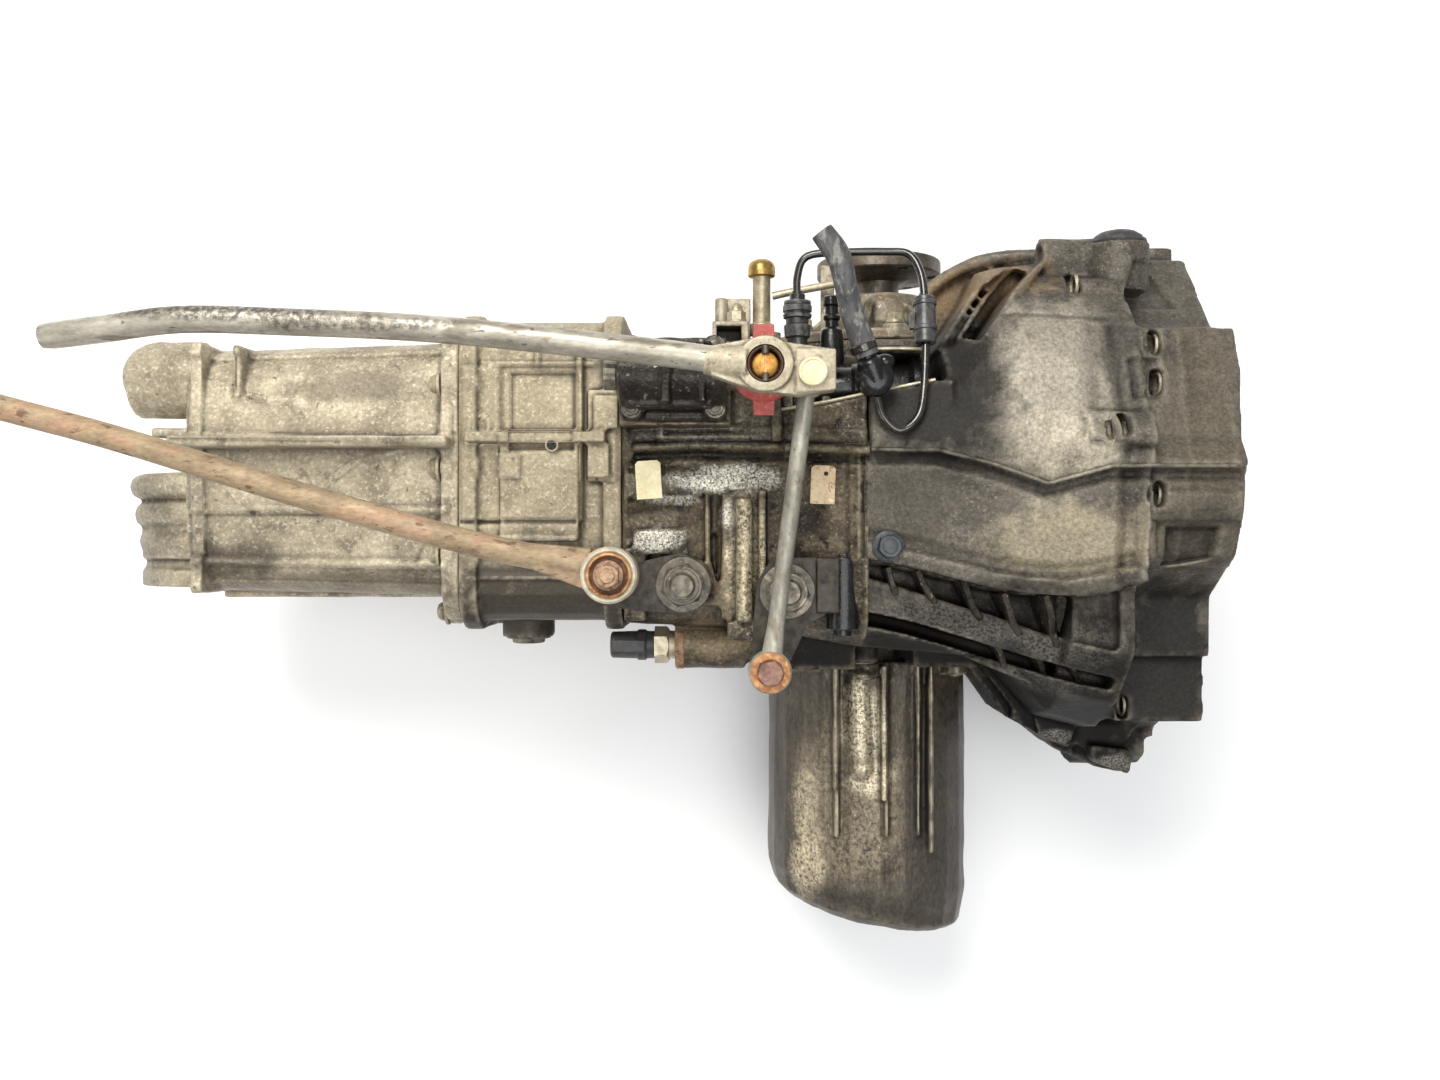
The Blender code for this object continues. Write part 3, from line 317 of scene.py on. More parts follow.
def surface(
    name, light, dark, metallic, rough, clouds=10, spots=(), grain=(2.2, 0.2), bumps=((1.0, 0.06),),
    edge=None, hollow_dirt_and_shade=None, zones=(), coat=0.0, stretch=None, specular=0.5,
):
    """A material in layers: clouded colour, zones, spots, grain, dirt and painted shade darkening the
    hollows, and edges lightened as wear and as painted highlight.
    """
    material = bpy.data.materials.new(name)
    material.use_nodes = True
    tree = material.node_tree
    shader = tree.nodes["Principled BSDF"]
    flat = coord = node(tree, "TexCoord").outputs["Object"]
    if stretch:
        coord = node(tree, "Mapping", {"Vector": coord, "Scale": stretch}).outputs[0]
    colour = mixed(
        tree, ranged(tree, noise_of(tree, coord, clouds, 7, 0.68), 0.34, 0.66), tint(dark), tint(light),
    )
    gloss = ranged(tree, noise_of(tree, coord, clouds * 0.4, 4), 0.3, 0.7, *rough)
    layers = []
    for size, level, *look in spots:
        patch = ranged(tree, noise_of(tree, coord, size, 3, 0.6, 0.3), level - 0.035, level + 0.035)
        layers.append((patch, *look))
    layers += [
        (within_zone(tree, flat, centre, radii, speckle), *look) for centre, radii, speckle, *look in zones
    ]
    for share, shade, strength, shine in layers:
        share = math_of(tree, "MULTIPLY", share, strength)
        colour = mixed(tree, share, colour, tint(shade))
        gloss = node(tree, "Mix", {0: share, 2: gloss, 3: shine}).outputs[0]
    fine = ranged(tree, noise_of(tree, coord, grain[0], 3, 0.7), 0.32, 0.68, 1.0 - grain[1], 1.0 + grain[1])
    spread = node(tree, "CombineXYZ", {0: fine, 1: fine, 2: fine}).outputs[0]
    colour = node(tree, "VectorMath", {0: colour, 1: spread}, operation="MULTIPLY").outputs[0]
    pointed = node(tree, "NewGeometry").outputs["Pointiness"]
    # Dirt and painted shade: the colour darkens towards the given colour where pointiness is low, in hollows
    # and creases.
    if hollow_dirt_and_shade:
        colour = mixed(tree, ranged(tree, pointed, 0.5, 0.45, 0.0, hollow_dirt_and_shade[1]), colour, tint(hollow_dirt_and_shade[0]))
    # Wear and painted highlight: proud edges, where pointiness is high, are lightened towards the edge
    # colour, broken up by noise.
    if edge:
        proud = ranged(tree, pointed, 0.505, 0.555, 0.0, edge[1])
        broken = math_of(tree, "MULTIPLY", proud, ranged(tree, noise_of(tree, coord, 6, 4), 0.35, 0.6))
        colour = mixed(tree, broken, colour, tint(edge[0]))
    normal = None
    for size, depth in bumps:
        values = {"Height": noise_of(tree, coord, size, 3), "Distance": depth * MM, "Strength": 1.0}
        if normal:
            values["Normal"] = normal
        normal = node(tree, "Bump", values).outputs["Normal"]
    tree.links.new(colour, shader.inputs["Base Color"])
    tree.links.new(gloss, shader.inputs["Roughness"])
    tree.links.new(normal, shader.inputs["Normal"])
    shader.inputs["Metallic"].default_value = metallic
    shader.inputs["Coat Weight"].default_value = coat
    shader.inputs["Specular IOR Level"].default_value = specular
    return material


# Near-black: the colour of oil, and of the painted shade that several materials lay in their hollows.
OIL_AND_SHADE = (20, 17, 14)
# Pale grey for painted glints of light on wet oil.
PAINTED_WET_GLINT = (198, 194, 180)

# spots: size, level, colour, strength, roughness. zones: centre, radii, speckle, colour, strength, roughness.
CAST_COVER = surface(
    "cast_cover", (186, 174, 148), (118, 108, 89), 0.3, (0.45, 0.7), 40,
    spots=(
        (24, 0.63, (92, 82, 66), 0.6, 0.6), (7, 0.68, (62, 54, 44), 0.8, 0.45),
        (2.6, 0.6, (214, 204, 180), 0.45, 0.5),
    ),
    grain=(2.4, 0.26), bumps=((1.4, 0.2), (14, 0.5)), edge=((204, 196, 174), 0.35),
    hollow_dirt_and_shade=((46, 39, 31), 0.9),
    zones=(
        # Painted shade: the lower side of the cover darker, where it turns away from the light.
        ((-560, -66, 70), (110, 14, 30), 0, (84, 74, 60), 0.6, 0.5),
        ((-650, -46, 70), (40, 12, 30), 0, (70, 62, 50), 0.6, 0.5),
        ((-560, 70, 90), (44, 10, 20), 0, (104, 94, 78), 0.7, 0.6),
        ((-720, -30, 20), (30, 60, 60), 0, (120, 112, 98), 0.5, 0.5),
    ),
)
CAST_BEARING = surface(
    "cast_bearing", (168, 156, 129), (124, 113, 91), 0.3, (0.5, 0.72), 44,
    spots=(
        (22, 0.63, (100, 90, 72), 0.55, 0.6), (6, 0.7, (58, 50, 40), 0.8, 0.5),
        (2.6, 0.6, (206, 196, 170), 0.4, 0.5),
    ),
    grain=(2.4, 0.24), bumps=((1.4, 0.18), (16, 0.4)), edge=((200, 191, 167), 0.35),
    hollow_dirt_and_shade=((50, 42, 33), 0.9),
    zones=(
        # Painted shade: the lower part of the housing near-black, on the side turned away from the light.
        ((-428, -84, 60), (80, 52, 90), 0, (44, 37, 28), 0.94, 0.55),
        ((-410, 84, 90), (30, 14, 30), 0, (96, 86, 70), 0.6, 0.5),
    ),
)
CAST_CASE = surface(
    "cast_case", (98, 88, 71), (40, 34, 28), 0.3, (0.26, 0.6), 34,
    spots=((18, 0.58, (32, 27, 22), 0.8, 0.2), (2.4, 0.64, (140, 130, 110), 0.4, 0.35)),
    grain=(2.4, 0.42), bumps=((2.0, 0.42), (9, 0.5)), edge=((160, 148, 122), 0.45), hollow_dirt_and_shade=(OIL_AND_SHADE, 0.95),
    specular=0.25,
    zones=(
        # Painted glints: speckled patches of light where the wet oil would catch the lamp.
        ((-308, 7, 104), (38, 9, 16), 1.5, PAINTED_WET_GLINT, 0.85, 0.3),
        ((-358, -33, 99), (18, 8, 16), 1.4, PAINTED_WET_GLINT, 0.9, 0.3),
        ((-310, -17, 106), (7, 11, 12), 1.4, PAINTED_WET_GLINT, 0.85, 0.3),
        ((-348, -7, 100), (15, 3.5, 14), 1.6, PAINTED_WET_GLINT, 0.7, 0.3),
        ((-322, -60, 100), (20, 34, 30), 0, (112, 100, 78), 0.5, 0.4),
        ((-322, -100, 66), (30, 14, 30), 0, (132, 116, 90), 0.7, 0.45),
        # Painted shade: near-black over the wall that closes the gap between the case and the heat shield.
        ((-240, -112, 30), (48, 26, 60), 0, (12, 10, 9), 0.97, 0.6),
        # Painted highlight: a speckled light strip along the top of the rounded column.
        ((-300, -45, 112), (12, 46, 20), 2.6, (198, 186, 156), 0.7, 0.35),
        ((-350, 70, 90), (40, 40, 40), 0, (56, 50, 43), 0.6, 0.3),
        # Painted glints: fine light speckles on the oily top beside the selector cover.
        ((-310, 40, 100), (60, 14, 20), 2.2, (150, 144, 130), 0.35, 0.25),
    ),
)
CAST_BELL = surface(
    "cast_bell", (100, 94, 84), (58, 54, 48), 0.25, (0.42, 0.65), 40,
    spots=(
        (20, 0.61, (48, 43, 37), 0.6, 0.35), (3.6, 0.7, (30, 26, 23), 0.85, 0.4),
        (1.8, 0.62, (148, 139, 120), 0.35, 0.4),
    ),
    grain=(2.4, 0.34), bumps=((1.8, 0.3), (12, 0.5)), edge=((150, 143, 127), 0.35),
    hollow_dirt_and_shade=((24, 20, 17), 0.9), specular=0.2,
    zones=(
        # Painted highlights: the lit top of the dome, the lit bulge of the belly, and speckled glints on the
        # dome.
        ((-112, 62, 152), (42, 54, 60), 0, (164, 156, 140), 0.62, 0.5),
        ((-100, -34, 160), (50, 22, 40), 0, (142, 132, 109), 0.66, 0.38),
        ((-112, 24, 160), (28, 22, 60), 1.6, (160, 150, 126), 0.35, 0.4),
        ((-24, 20, 150), (30, 90, 60), 0, (96, 88, 74), 0.6, 0.5),
        ((-150, 135, 90), (46, 20, 60), 0, (128, 106, 78), 0.75, 0.6),
        # Painted shade: near-black over the clutch slave cylinder's recess.
        ((-182, 60, 130), (46, 60, 60), 0, (28, 26, 23), 0.92, 0.6),
        ((-72, 80, 160), (13, 40, 40), 0, (60, 57, 51), 0.8, 0.6),
        ((-120, -66, 150), (90, 12, 40), 0, (66, 62, 54), 0.75, 0.5),
        # Painted shade: near-black over the hollow round the starter's seat and the wall that closes it.
        ((-150, -134, 60), (56, 30, 60), 0, (14, 12, 11), 0.95, 0.6),
        ((-200, -10, 130), (30, 26, 40), 0, (70, 65, 57), 0.7, 0.4),
        ((-150, -120, 90), (150, 62, 90), 0, OIL_AND_SHADE, 0.96, 0.6),
        # Painted glints: bright speckles on the wet terrace under the lip.
        ((-170, -82, 124), (70, 12, 26), 1.8, (92, 87, 79), 0.4, 0.3),
        ((-110, -100, 124), (50, 14, 26), 1.8, (100, 96, 88), 0.45, 0.3),
        ((-100, -126, 98), (44, 10, 24), 1.8, (96, 92, 86), 0.45, 0.3),
        ((-28, -116, 110), (36, 62, 90), 0, (38, 36, 33), 0.97, 0.6),
        ((-24, -24, 110), (30, 34, 60), 0, (58, 54, 47), 0.8, 0.6),
        # Painted shade: near-black deeper in the hollow round the starter's seat.
        ((-112, -152, 60), (56, 22, 60), 0, (11, 10, 9), 0.97, 0.55),
        ((-90, -182, 0), (100, 44, 90), 0, (11, 10, 9), 0.97, 0.55),
        # Painted glints: bright speckles on the wet oily lump.
        ((-76, -174, 26), (11, 5, 16), 1.4, (110, 106, 98), 0.7, 0.25),
        ((-36, -193, 26), (14, 6, 16), 1.4, (122, 118, 110), 0.75, 0.25),
    ),
)
CAST_SHIELD = surface(
    "cast_shield", (104, 93, 76), (46, 40, 33), 0.5, (0.3, 0.55), 44,
    spots=(
        (12, 0.6, (40, 34, 28), 0.7, 0.35), (2.8, 0.62, (136, 124, 100), 0.45, 0.4),
        (2.0, 0.69, (196, 184, 156), 0.5, 0.35),
    ),
    grain=(2.6, 0.34), bumps=((1.6, 0.24), (11, 0.5)), edge=((180, 168, 142), 0.5),
    hollow_dirt_and_shade=((18, 15, 12), 0.95), stretch=(1.0, 0.5, 1.0),
    zones=(
        ((-213, -168, 8), (17, 30, 30), 2.2, (206, 195, 166), 0.92, 0.4),
        ((-208, -206, 8), (17, 12, 30), 2.0, (204, 193, 164), 0.88, 0.4),
        ((-253, -278, -4), (13, 28, 30), 2.4, (200, 184, 154), 0.92, 0.5),
        ((-256, -230, -4), (10, 26, 30), 2.4, (206, 192, 160), 0.6, 0.4),
        ((-225, -225, 8), (44, 70, 40), 3.0, (160, 148, 122), 0.4, 0.4),
        ((-150, -250, -10), (36, 90, 60), 0, (66, 61, 56), 0.8, 0.5),
        ((-190, -306, 0), (80, 26, 40), 0, (74, 69, 62), 0.7, 0.5),
        ((-275, -200, -30), (16, 100, 60), 0, (60, 52, 42), 0.7, 0.4),
        ((-252, -150, 8), (16, 40, 40), 0, (56, 50, 41), 0.7, 0.4),
        ((-176, -160, 8), (18, 34, 40), 0, (62, 55, 45), 0.6, 0.4),
    ),
)
CAST_SIDE = surface(
    "cast_side", (150, 140, 118), (82, 74, 60), 0.4, (0.4, 0.65), 30,
    spots=((14, 0.6, (96, 66, 42), 0.6, 0.6), (3.5, 0.66, (200, 190, 168), 0.5, 0.4)),
    grain=(2.2, 0.3), bumps=((1.6, 0.3),), edge=((200, 190, 166), 0.6), hollow_dirt_and_shade=(OIL_AND_SHADE, 0.85),
)
OILY_CAST = surface(
    "oily_cast", (50, 45, 39), (18, 15, 13), 0.25, (0.2, 0.45), 22,
    spots=((3.5, 0.66, (150, 144, 130), 0.6, 0.2),),
    grain=(2.2, 0.35), bumps=((2.4, 0.5), (8, 0.6)), edge=((120, 112, 96), 0.22), hollow_dirt_and_shade=(OIL_AND_SHADE, 0.8),
    specular=0.25,
)
GALVANISED = surface(
    "galvanised", (184, 178, 163), (132, 126, 111), 0.5, (0.32, 0.52), 20,
    spots=(
        (16, 0.6, (96, 86, 70), 0.6, 0.55), (5, 0.68, (62, 55, 46), 0.8, 0.6),
        (2.4, 0.7, (38, 34, 30), 0.9, 0.6),
    ),
    grain=(1.8, 0.16), bumps=((3.0, 0.07), (0.8, 0.02)), stretch=(0.4, 1.0, 1.0),
    zones=(
        ((-600, 96, 204), (70, 5, 9), 3, (50, 44, 38), 0.8, 0.5),
        ((-520, 90, 204), (60, 4, 9), 3, (60, 52, 44), 0.7, 0.5),
    ),
)
GREY_ROD = surface(
    "grey_rod", (158, 154, 140), (106, 102, 90), 0.4, (0.38, 0.58), 18,
    spots=((14, 0.62, (96, 82, 60), 0.6, 0.6), (2.6, 0.71, (40, 36, 32), 0.9, 0.6)),
    grain=(1.8, 0.16), bumps=((3.0, 0.05), (0.8, 0.02)), stretch=(1.0, 0.5, 1.0),
)
RUSTY_ROD = surface(
    "rusty_rod", (168, 148, 116), (116, 97, 74), 0.25, (0.5, 0.75), 26,
    spots=(
        (26, 0.56, (158, 120, 96), 0.5, 0.7), (7, 0.64, (92, 62, 42), 0.75, 0.75),
        (2.6, 0.68, (42, 30, 24), 0.8, 0.7),
    ),
    grain=(2.0, 0.2), bumps=((1.4, 0.08), (5, 0.1)), stretch=(0.4, 1.0, 1.0),
)
EYE_CAST = surface(
    "eye_cast", (176, 166, 142), (132, 121, 98), 0.3, (0.45, 0.65), 14,
    spots=((6, 0.64, (84, 74, 58), 0.6, 0.6), (1.8, 0.7, (56, 48, 40), 0.8, 0.6)),
    grain=(2.0, 0.2), bumps=((1.0, 0.12),), edge=((206, 198, 178), 0.4), hollow_dirt_and_shade=((52, 40, 28), 0.8),
)
RUST = surface(
    "rust", (168, 112, 68), (98, 60, 36), 0.2, (0.55, 0.85), 7,
    spots=((3, 0.6, (206, 158, 104), 0.6, 0.7), (2, 0.66, (60, 36, 24), 0.7, 0.8)),
    grain=(1.4, 0.3), bumps=((0.8, 0.1), (3, 0.1)), edge=((214, 168, 116), 0.5), hollow_dirt_and_shade=((50, 30, 20), 0.8),
)
RUSTY_RING = surface(
    "rusty_ring", (172, 142, 112), (116, 88, 64), 0.3, (0.55, 0.75), 9,
    spots=((4, 0.6, (92, 56, 34), 0.7, 0.75), (1.6, 0.68, (56, 36, 26), 0.6, 0.7)),
    grain=(1.6, 0.25), bumps=((1.0, 0.1), (4, 0.1)), hollow_dirt_and_shade=((54, 32, 20), 0.8),
)
BROWN_BOLT = surface(
    "brown_bolt", (132, 98, 86), (84, 60, 53), 0.4, (0.5, 0.7), 8,
    spots=((2.5, 0.64, (64, 40, 34), 0.6, 0.7),), edge=((190, 150, 120), 0.5),
)
GREASE = surface(
    "grease", (74, 50, 26), (28, 19, 12), 0.1, (0.2, 0.45), 6,
    spots=((2.5, 0.62, (116, 84, 44), 0.5, 0.3),), grain=(1.4, 0.3), bumps=((1.2, 0.2),),
)
ZINC = surface(
    "zinc_plate", (186, 174, 146), (128, 116, 92), 0.6, (0.34, 0.55), 8,
    spots=((3, 0.64, (104, 90, 64), 0.6, 0.5),), grain=(1.4, 0.14), bumps=((0.7, 0.03),),
    edge=((214, 206, 184), 0.35),
)
BRASS = surface(
    "dull_brass", (190, 158, 92), (128, 100, 52), 0.85, (0.25, 0.45), 7,
    spots=((3, 0.62, (84, 62, 34), 0.6, 0.5),), grain=(1.4, 0.15), bumps=((0.8, 0.03),),
)
SEAM_STEEL = surface(
    "blued_steel", (66, 69, 71), (40, 42, 44), 0.5, (0.4, 0.6), 9,
    spots=((3, 0.64, (36, 33, 30), 0.6, 0.4),), grain=(1.6, 0.18), hollow_dirt_and_shade=(OIL_AND_SHADE, 0.8),
)
DARK_STEEL = surface(
    "oiled_steel", (80, 73, 62), (34, 31, 27), 0.45, (0.28, 0.5), 14,
    spots=((6, 0.6, (26, 23, 20), 0.7, 0.2), (2.5, 0.68, (160, 150, 130), 0.5, 0.4)),
    grain=(1.8, 0.2), bumps=((1.4, 0.12),), edge=((170, 160, 138), 0.45), hollow_dirt_and_shade=(OIL_AND_SHADE, 0.8),
)
BRACKET = surface(
    "oiled_bracket", (46, 40, 33), (20, 17, 14), 0.15, (0.35, 0.6), 20,
    spots=((6, 0.66, (84, 76, 64), 0.3, 0.4),), grain=(2.2, 0.2), bumps=((2.0, 0.15),),
    edge=((96, 88, 74), 0.3), specular=0.25,
)
BRIGHT_STEEL = surface(
    "machined_steel", (200, 196, 186), (150, 144, 132), 0.9, (0.2, 0.38), 12,
    spots=((5, 0.66, (96, 84, 66), 0.5, 0.4),), grain=(1.0, 0.1), bumps=((0.6, 0.015),),
)
GEAR_STEEL = surface(
    "ground_steel", (176, 172, 162), (126, 120, 108), 0.9, (0.18, 0.35), 10,
    spots=((6, 0.62, (96, 78, 50), 0.4, 0.2),), grain=(1.0, 0.08), bumps=((0.7, 0.02),),
)
INNER_STEEL = surface(
    "forged_steel", (112, 104, 92), (66, 60, 52), 0.7, (0.3, 0.5), 14,
    spots=((8, 0.6, (92, 62, 42), 0.5, 0.6), (3, 0.64, (44, 36, 28), 0.6, 0.3)), bumps=((1.2, 0.08),),
)
PIPE_STEEL = surface(
    "pipe_coating", (58, 54, 48), (26, 24, 22), 0.5, (0.14, 0.3), 9,
    spots=((4, 0.68, (128, 118, 98), 0.5, 0.3),), grain=(1.4, 0.12), bumps=((2.2, 0.04),), coat=0.6,
)
BLACK_PLASTIC = surface(
    "black_plastic", (50, 49, 49), (20, 20, 21), 0.0, (0.2, 0.45), 9,
    spots=((4, 0.64, (84, 80, 74), 0.45, 0.45),), grain=(1.6, 0.15), bumps=((0.8, 0.04),),
    edge=((120, 118, 114), 0.4),
)
OILY_PLASTIC = surface(
    "oily_plastic", (24, 23, 22), (8, 8, 8), 0.0, (0.2, 0.4), 10,
    spots=((4, 0.62, (52, 48, 42), 0.5, 0.15),), grain=(1.6, 0.15), bumps=((2.0, 0.2), (5, 0.25)),
    coat=0.15, specular=0.3,
)
DULL_PLASTIC = surface(
    "dull_plastic", (64, 61, 60), (38, 37, 37), 0.0, (0.45, 0.6), 10,
    spots=((5, 0.64, (92, 86, 78), 0.45, 0.6),), grain=(1.8, 0.14), bumps=((0.8, 0.04),),
)
HOSE_RUBBER = surface(
    "worn_rubber", (88, 87, 86), (32, 32, 33), 0.0, (0.5, 0.75), 11,
    spots=((6, 0.56, (128, 126, 120), 0.7, 0.7), (3, 0.64, (18, 18, 18), 0.6, 0.5)),
    grain=(1.8, 0.25), bumps=((1.2, 0.15),), stretch=(1.0, 0.4, 1.0),
)
RED_PLASTIC = surface(
    "faded_red_plastic", (176, 80, 66), (136, 52, 44), 0.0, (0.45, 0.65), 12,
    spots=((6, 0.6, (104, 46, 40), 0.6, 0.5), (2.4, 0.66, (226, 160, 146), 0.5, 0.6)),
    hollow_dirt_and_shade=((60, 30, 24), 0.7),
)
AMBER = surface(
    "amber_plastic", (226, 176, 96), (176, 122, 50), 0.0, (0.3, 0.5), 7,
    spots=((3.4, 0.6, (120, 76, 26), 0.6, 0.4), (1.5, 0.68, (60, 36, 16), 0.7, 0.4)),
)
CREAM = surface(
    "cream_plastic", (214, 205, 168), (188, 175, 134), 0.0, (0.4, 0.6), 8,
    spots=((4, 0.66, (146, 130, 92), 0.5, 0.55), (1.6, 0.74, (78, 68, 50), 0.6, 0.5)), grain=(1.4, 0.06),
    bumps=((0.9, 0.03),),
)
OLD_LABEL = surface(
    "worn_label", (196, 178, 144), (164, 136, 100), 0.0, (0.45, 0.65), 7,
    spots=((6, 0.58, (112, 76, 44), 0.7, 0.6), (3, 0.64, (226, 204, 168), 0.6, 0.6)), grain=(1.4, 0.1),
)


# Pieces


def piece(name, shape, material, body="gearbox", stands_for=None, bevel=0.0, sharp=35):
    """One visible piece, riding on a body. A piece named NODE_detail stands for that node."""
    bmesh.ops.transform(shape, matrix=TO_WORLD, verts=shape.verts)
    mesh = bpy.data.meshes.new(name)
    shape.to_mesh(mesh)
    shape.free()
    mesh.shade_smooth()
    mesh.set_sharp_from_angle(angle=math.radians(sharp))
    if name.endswith("_detail"):
        stands_for = name.removesuffix("_detail")
    return placed(name, mesh, material, body, stands_for, bevel)


def placed(name, mesh, material, body, stands_for, bevel=0.0):
    obj = bpy.data.objects.new(name, mesh)
    bpy.context.collection.objects.link(obj)
    mesh.materials.clear()
    mesh.materials.append(material)
    if bevel:
        modifier = obj.modifiers.new("edges", "BEVEL")
        modifier.width = bevel * MM
        modifier.segments = 2
        modifier.limit_method = "ANGLE"
        modifier.angle_limit = math.radians(40)
        modifier.harden_normals = True
    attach(obj, body)
    if stands_for:
        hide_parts(stands_for)
    return obj


def frame_shape(name):
    """A copy of a CAD node's mesh in the gearbox's frame, in millimetres."""
    shape = bmesh.new()
    shape.from_mesh(NODES[name].data)
    bmesh.ops.transform(shape, matrix=TO_WORLD.inverted(), verts=shape.verts)
    bmesh.ops.remove_doubles(shape, verts=shape.verts, dist=0.01)
    return shape


def to_route(x, y, route):
    """Plan distance of each point from a broken line."""
    nearest = np.full(len(x), 1e9)
    for (ax, ay), (bx, by) in zip(route, route[1:]):
        run = np.array((bx - ax, by - ay))
        share = ((x - ax) * run[0] + (y - ay) * run[1]) / (run @ run)
        share = np.clip(share, 0, 1)
        nearest = np.minimum(nearest, np.hypot(x - ax - share * run[0], y - ay - share * run[1]))
    return nearest


def inside(x, y, outline):
    within = np.zeros(len(x), bool)
    for (ax, ay), (bx, by) in zip(outline, outline[1:] + outline[:1]):
        crosses = (ay > y) != (by > y)
        at = (bx - ax) * (y - ay) / (by - ay if by != ay else 1e-9) + ax
        within ^= crosses & (x < at)
    return within


def eased(value):
    value = np.clip(value, 0, 1)
    return value * value * (3 - 2 * value)


def sculpted(co, no, strokes):
    """Works the top surface: raised or sunk lines and areas, and steps whose left side stands proud."""
    for kind, points, width, height, soft, low_z in strokes:
        x, y, z = co.T
        mask = eased((no[:, 2] - 0.12) / 0.25) * (z > low_z)
        points = list(points)
        if kind == "line":
            amount = eased((width / 2 - to_route(x, y, points)) / soft + 0.5)
        elif kind == "step":
            across, along = [p[1] for p in points], [p[0] for p in points]
            side = to_route(x, y, points) * np.sign(y - np.interp(x, along, across))
            amount = eased(side / soft + 0.5) * eased(1.2 - side / width) * (x > along[0]) * (x < along[-1])
        else:
            edge = to_route(x, y, points + points[:1])
            amount = eased(np.where(inside(x, y, points), edge, -edge) / soft + 0.5)
        co[:, 2] += height * amount * mask
    return co


def rolling(co, size, depth):
    """A gentle unevenness like that of sand-cast metal."""
    rng = np.random.default_rng(7)
    total = np.zeros(len(co))
    for _ in range(9):
        way = rng.normal(size=3)
        way /= np.linalg.norm(way)
        total += np.sin(co @ way * (2 * math.pi / (size * rng.uniform(0.6, 1.7))) + rng.uniform(0, 6.3))
    return total * depth / 3


def fused(shape, voxel, smooth):
    """The mesh of shells that fuse on a fine grid, which rounds their corners."""
    mesh = bpy.data.meshes.new("shells")
    shape.to_mesh(mesh)
    shape.free()
    obj = bpy.data.objects.new("shells", mesh)
    bpy.context.collection.objects.link(obj)
    remesh = obj.modifiers.new("grid", "REMESH")
    remesh.mode = "VOXEL"
    remesh.voxel_size = voxel
    soften = obj.modifiers.new("soften", "SMOOTH")
    soften.iterations = smooth
    result = bpy.data.meshes.new_from_object(obj.evaluated_get(bpy.context.evaluated_depsgraph_get()))
    bpy.data.objects.remove(obj)
    return result


def fused_shape(shape, voxel):
    result = bmesh.new()
    result.from_mesh(fused(shape, voxel, 3))
    return result


def casting(name, shape, material, stands_for, voxel, strokes=(), wave=(30, 0.25)):
    """A cast piece: fused shells with a slightly uneven surface, then strokes worked into the top."""
    mesh = fused(shape, voxel * (1.0), 2)
    count = len(mesh.vertices)
    co, no = np.zeros(count * 3), np.zeros(count * 3)
    mesh.vertices.foreach_get("co", co)
    mesh.vertices.foreach_get("normal", no)
    co, no = co.reshape(-1, 3), no.reshape(-1, 3)
    co = co + no * rolling(co, *wave)[:, None]
    co = sculpted(co, no, strokes)
    mesh.vertices.foreach_set("co", co.ravel())
    mesh.transform(TO_WORLD)
    mesh.shade_smooth()
    faces = len(mesh.polygons)
    made = placed(name, mesh, material, "gearbox", stands_for)
    if faces > MOST_FACES:
        thin = made.modifiers.new("thin", "DECIMATE")
        thin.ratio = MOST_FACES / (faces * 2)
    return made


# Camera, light and floor


def add_camera():
    data = bpy.data.cameras.new("camera")
    data.lens, data.sensor_width = CAMERA_LENS, 36.0
    data.clip_start, data.clip_end = 0.01, 50.0
    camera = bpy.data.objects.new("camera", data)
    camera.location = TO_WORLD @ Vector(CAMERA_AT)
    bpy.context.collection.objects.link(camera)
    bpy.context.scene.camera = camera


def add_light(name, at, towards, size, power, tint=(1, 1, 1)):
    data = bpy.data.lights.new(name, "AREA")
    data.size, data.energy, data.color = size, power, tint
    light = bpy.data.objects.new(name, data)
    light.location = at
    light.rotation_euler = (Vector(towards) - Vector(at)).to_track_quat("-Z", "Y").to_euler()
    bpy.context.collection.objects.link(light)


def add_studio():
    add_light("key", (-0.35, 1.15, 1.75), (0, 0, 0.2), 0.9, 40, (1.0, 0.985, 0.95))
    add_light("overhead", (0.35, -0.25, 2.3), (0, 0, 0.2), 1.5, 30)
    add_light("left", (-1.9, -0.6, 1.1), (0, 0, 0.15), 1.2, 12)
    world = bpy.data.worlds.new("studio")
    bpy.context.scene.world = world
    world.use_nodes = True
    background = world.node_tree.nodes["Background"]
    background.inputs["Color"].default_value = (0.93, 0.95, 1.0, 1.0)
    background.inputs["Strength"].default_value = 0.46
    floor = bmesh.new()
    bmesh.ops.create_grid(floor, x_segments=1, y_segments=1, size=6.0)
    mesh = bpy.data.meshes.new("floor")
    floor.to_mesh(mesh)
    floor.free()
    obj = bpy.data.objects.new("floor", mesh)
    bpy.context.collection.objects.link(obj)
    paint = bpy.data.materials.new("pale_floor")
    paint.use_nodes = True
    shader = paint.node_tree.nodes["Principled BSDF"]
    shader.inputs["Base Color"].default_value = (0.9, 0.9, 0.89, 1.0)
    shader.inputs["Roughness"].default_value = 0.8
    mesh.materials.append(paint)
    bpy.context.scene.view_settings.view_transform = "Standard"


# Castings. Lines across the bell and the case, in plan, as (x, y)

RIDGE = [
    (-372, 28), (-330, 29), (-266, 26), (-223, 23), (-184, 22), (-152, 13), (-121, 1), (-84, 11), (-44, 11),
    (-3, 11),
]
LIP = [
    (-232, -45), (-191, -54), (-167, -60), (-148, -65), (-128, -68), (-107, -69), (-87, -66), (-67, -61),
    (-55, -55), (-46, -46),
]
TERRACE_EDGE = [(-232, -77), (-199, -84), (-171, -92), (-143, -101), (-115, -109), (-87, -116), (-60, -122)]
LEDGE_EDGE = [(-180, -98), (-158, -109), (-137, -118), (-116, -126), (-94, -136), (-79, -141), (-58, -138)]
SHIELD_BOLTS = ((-212, 17), (-143, -5))


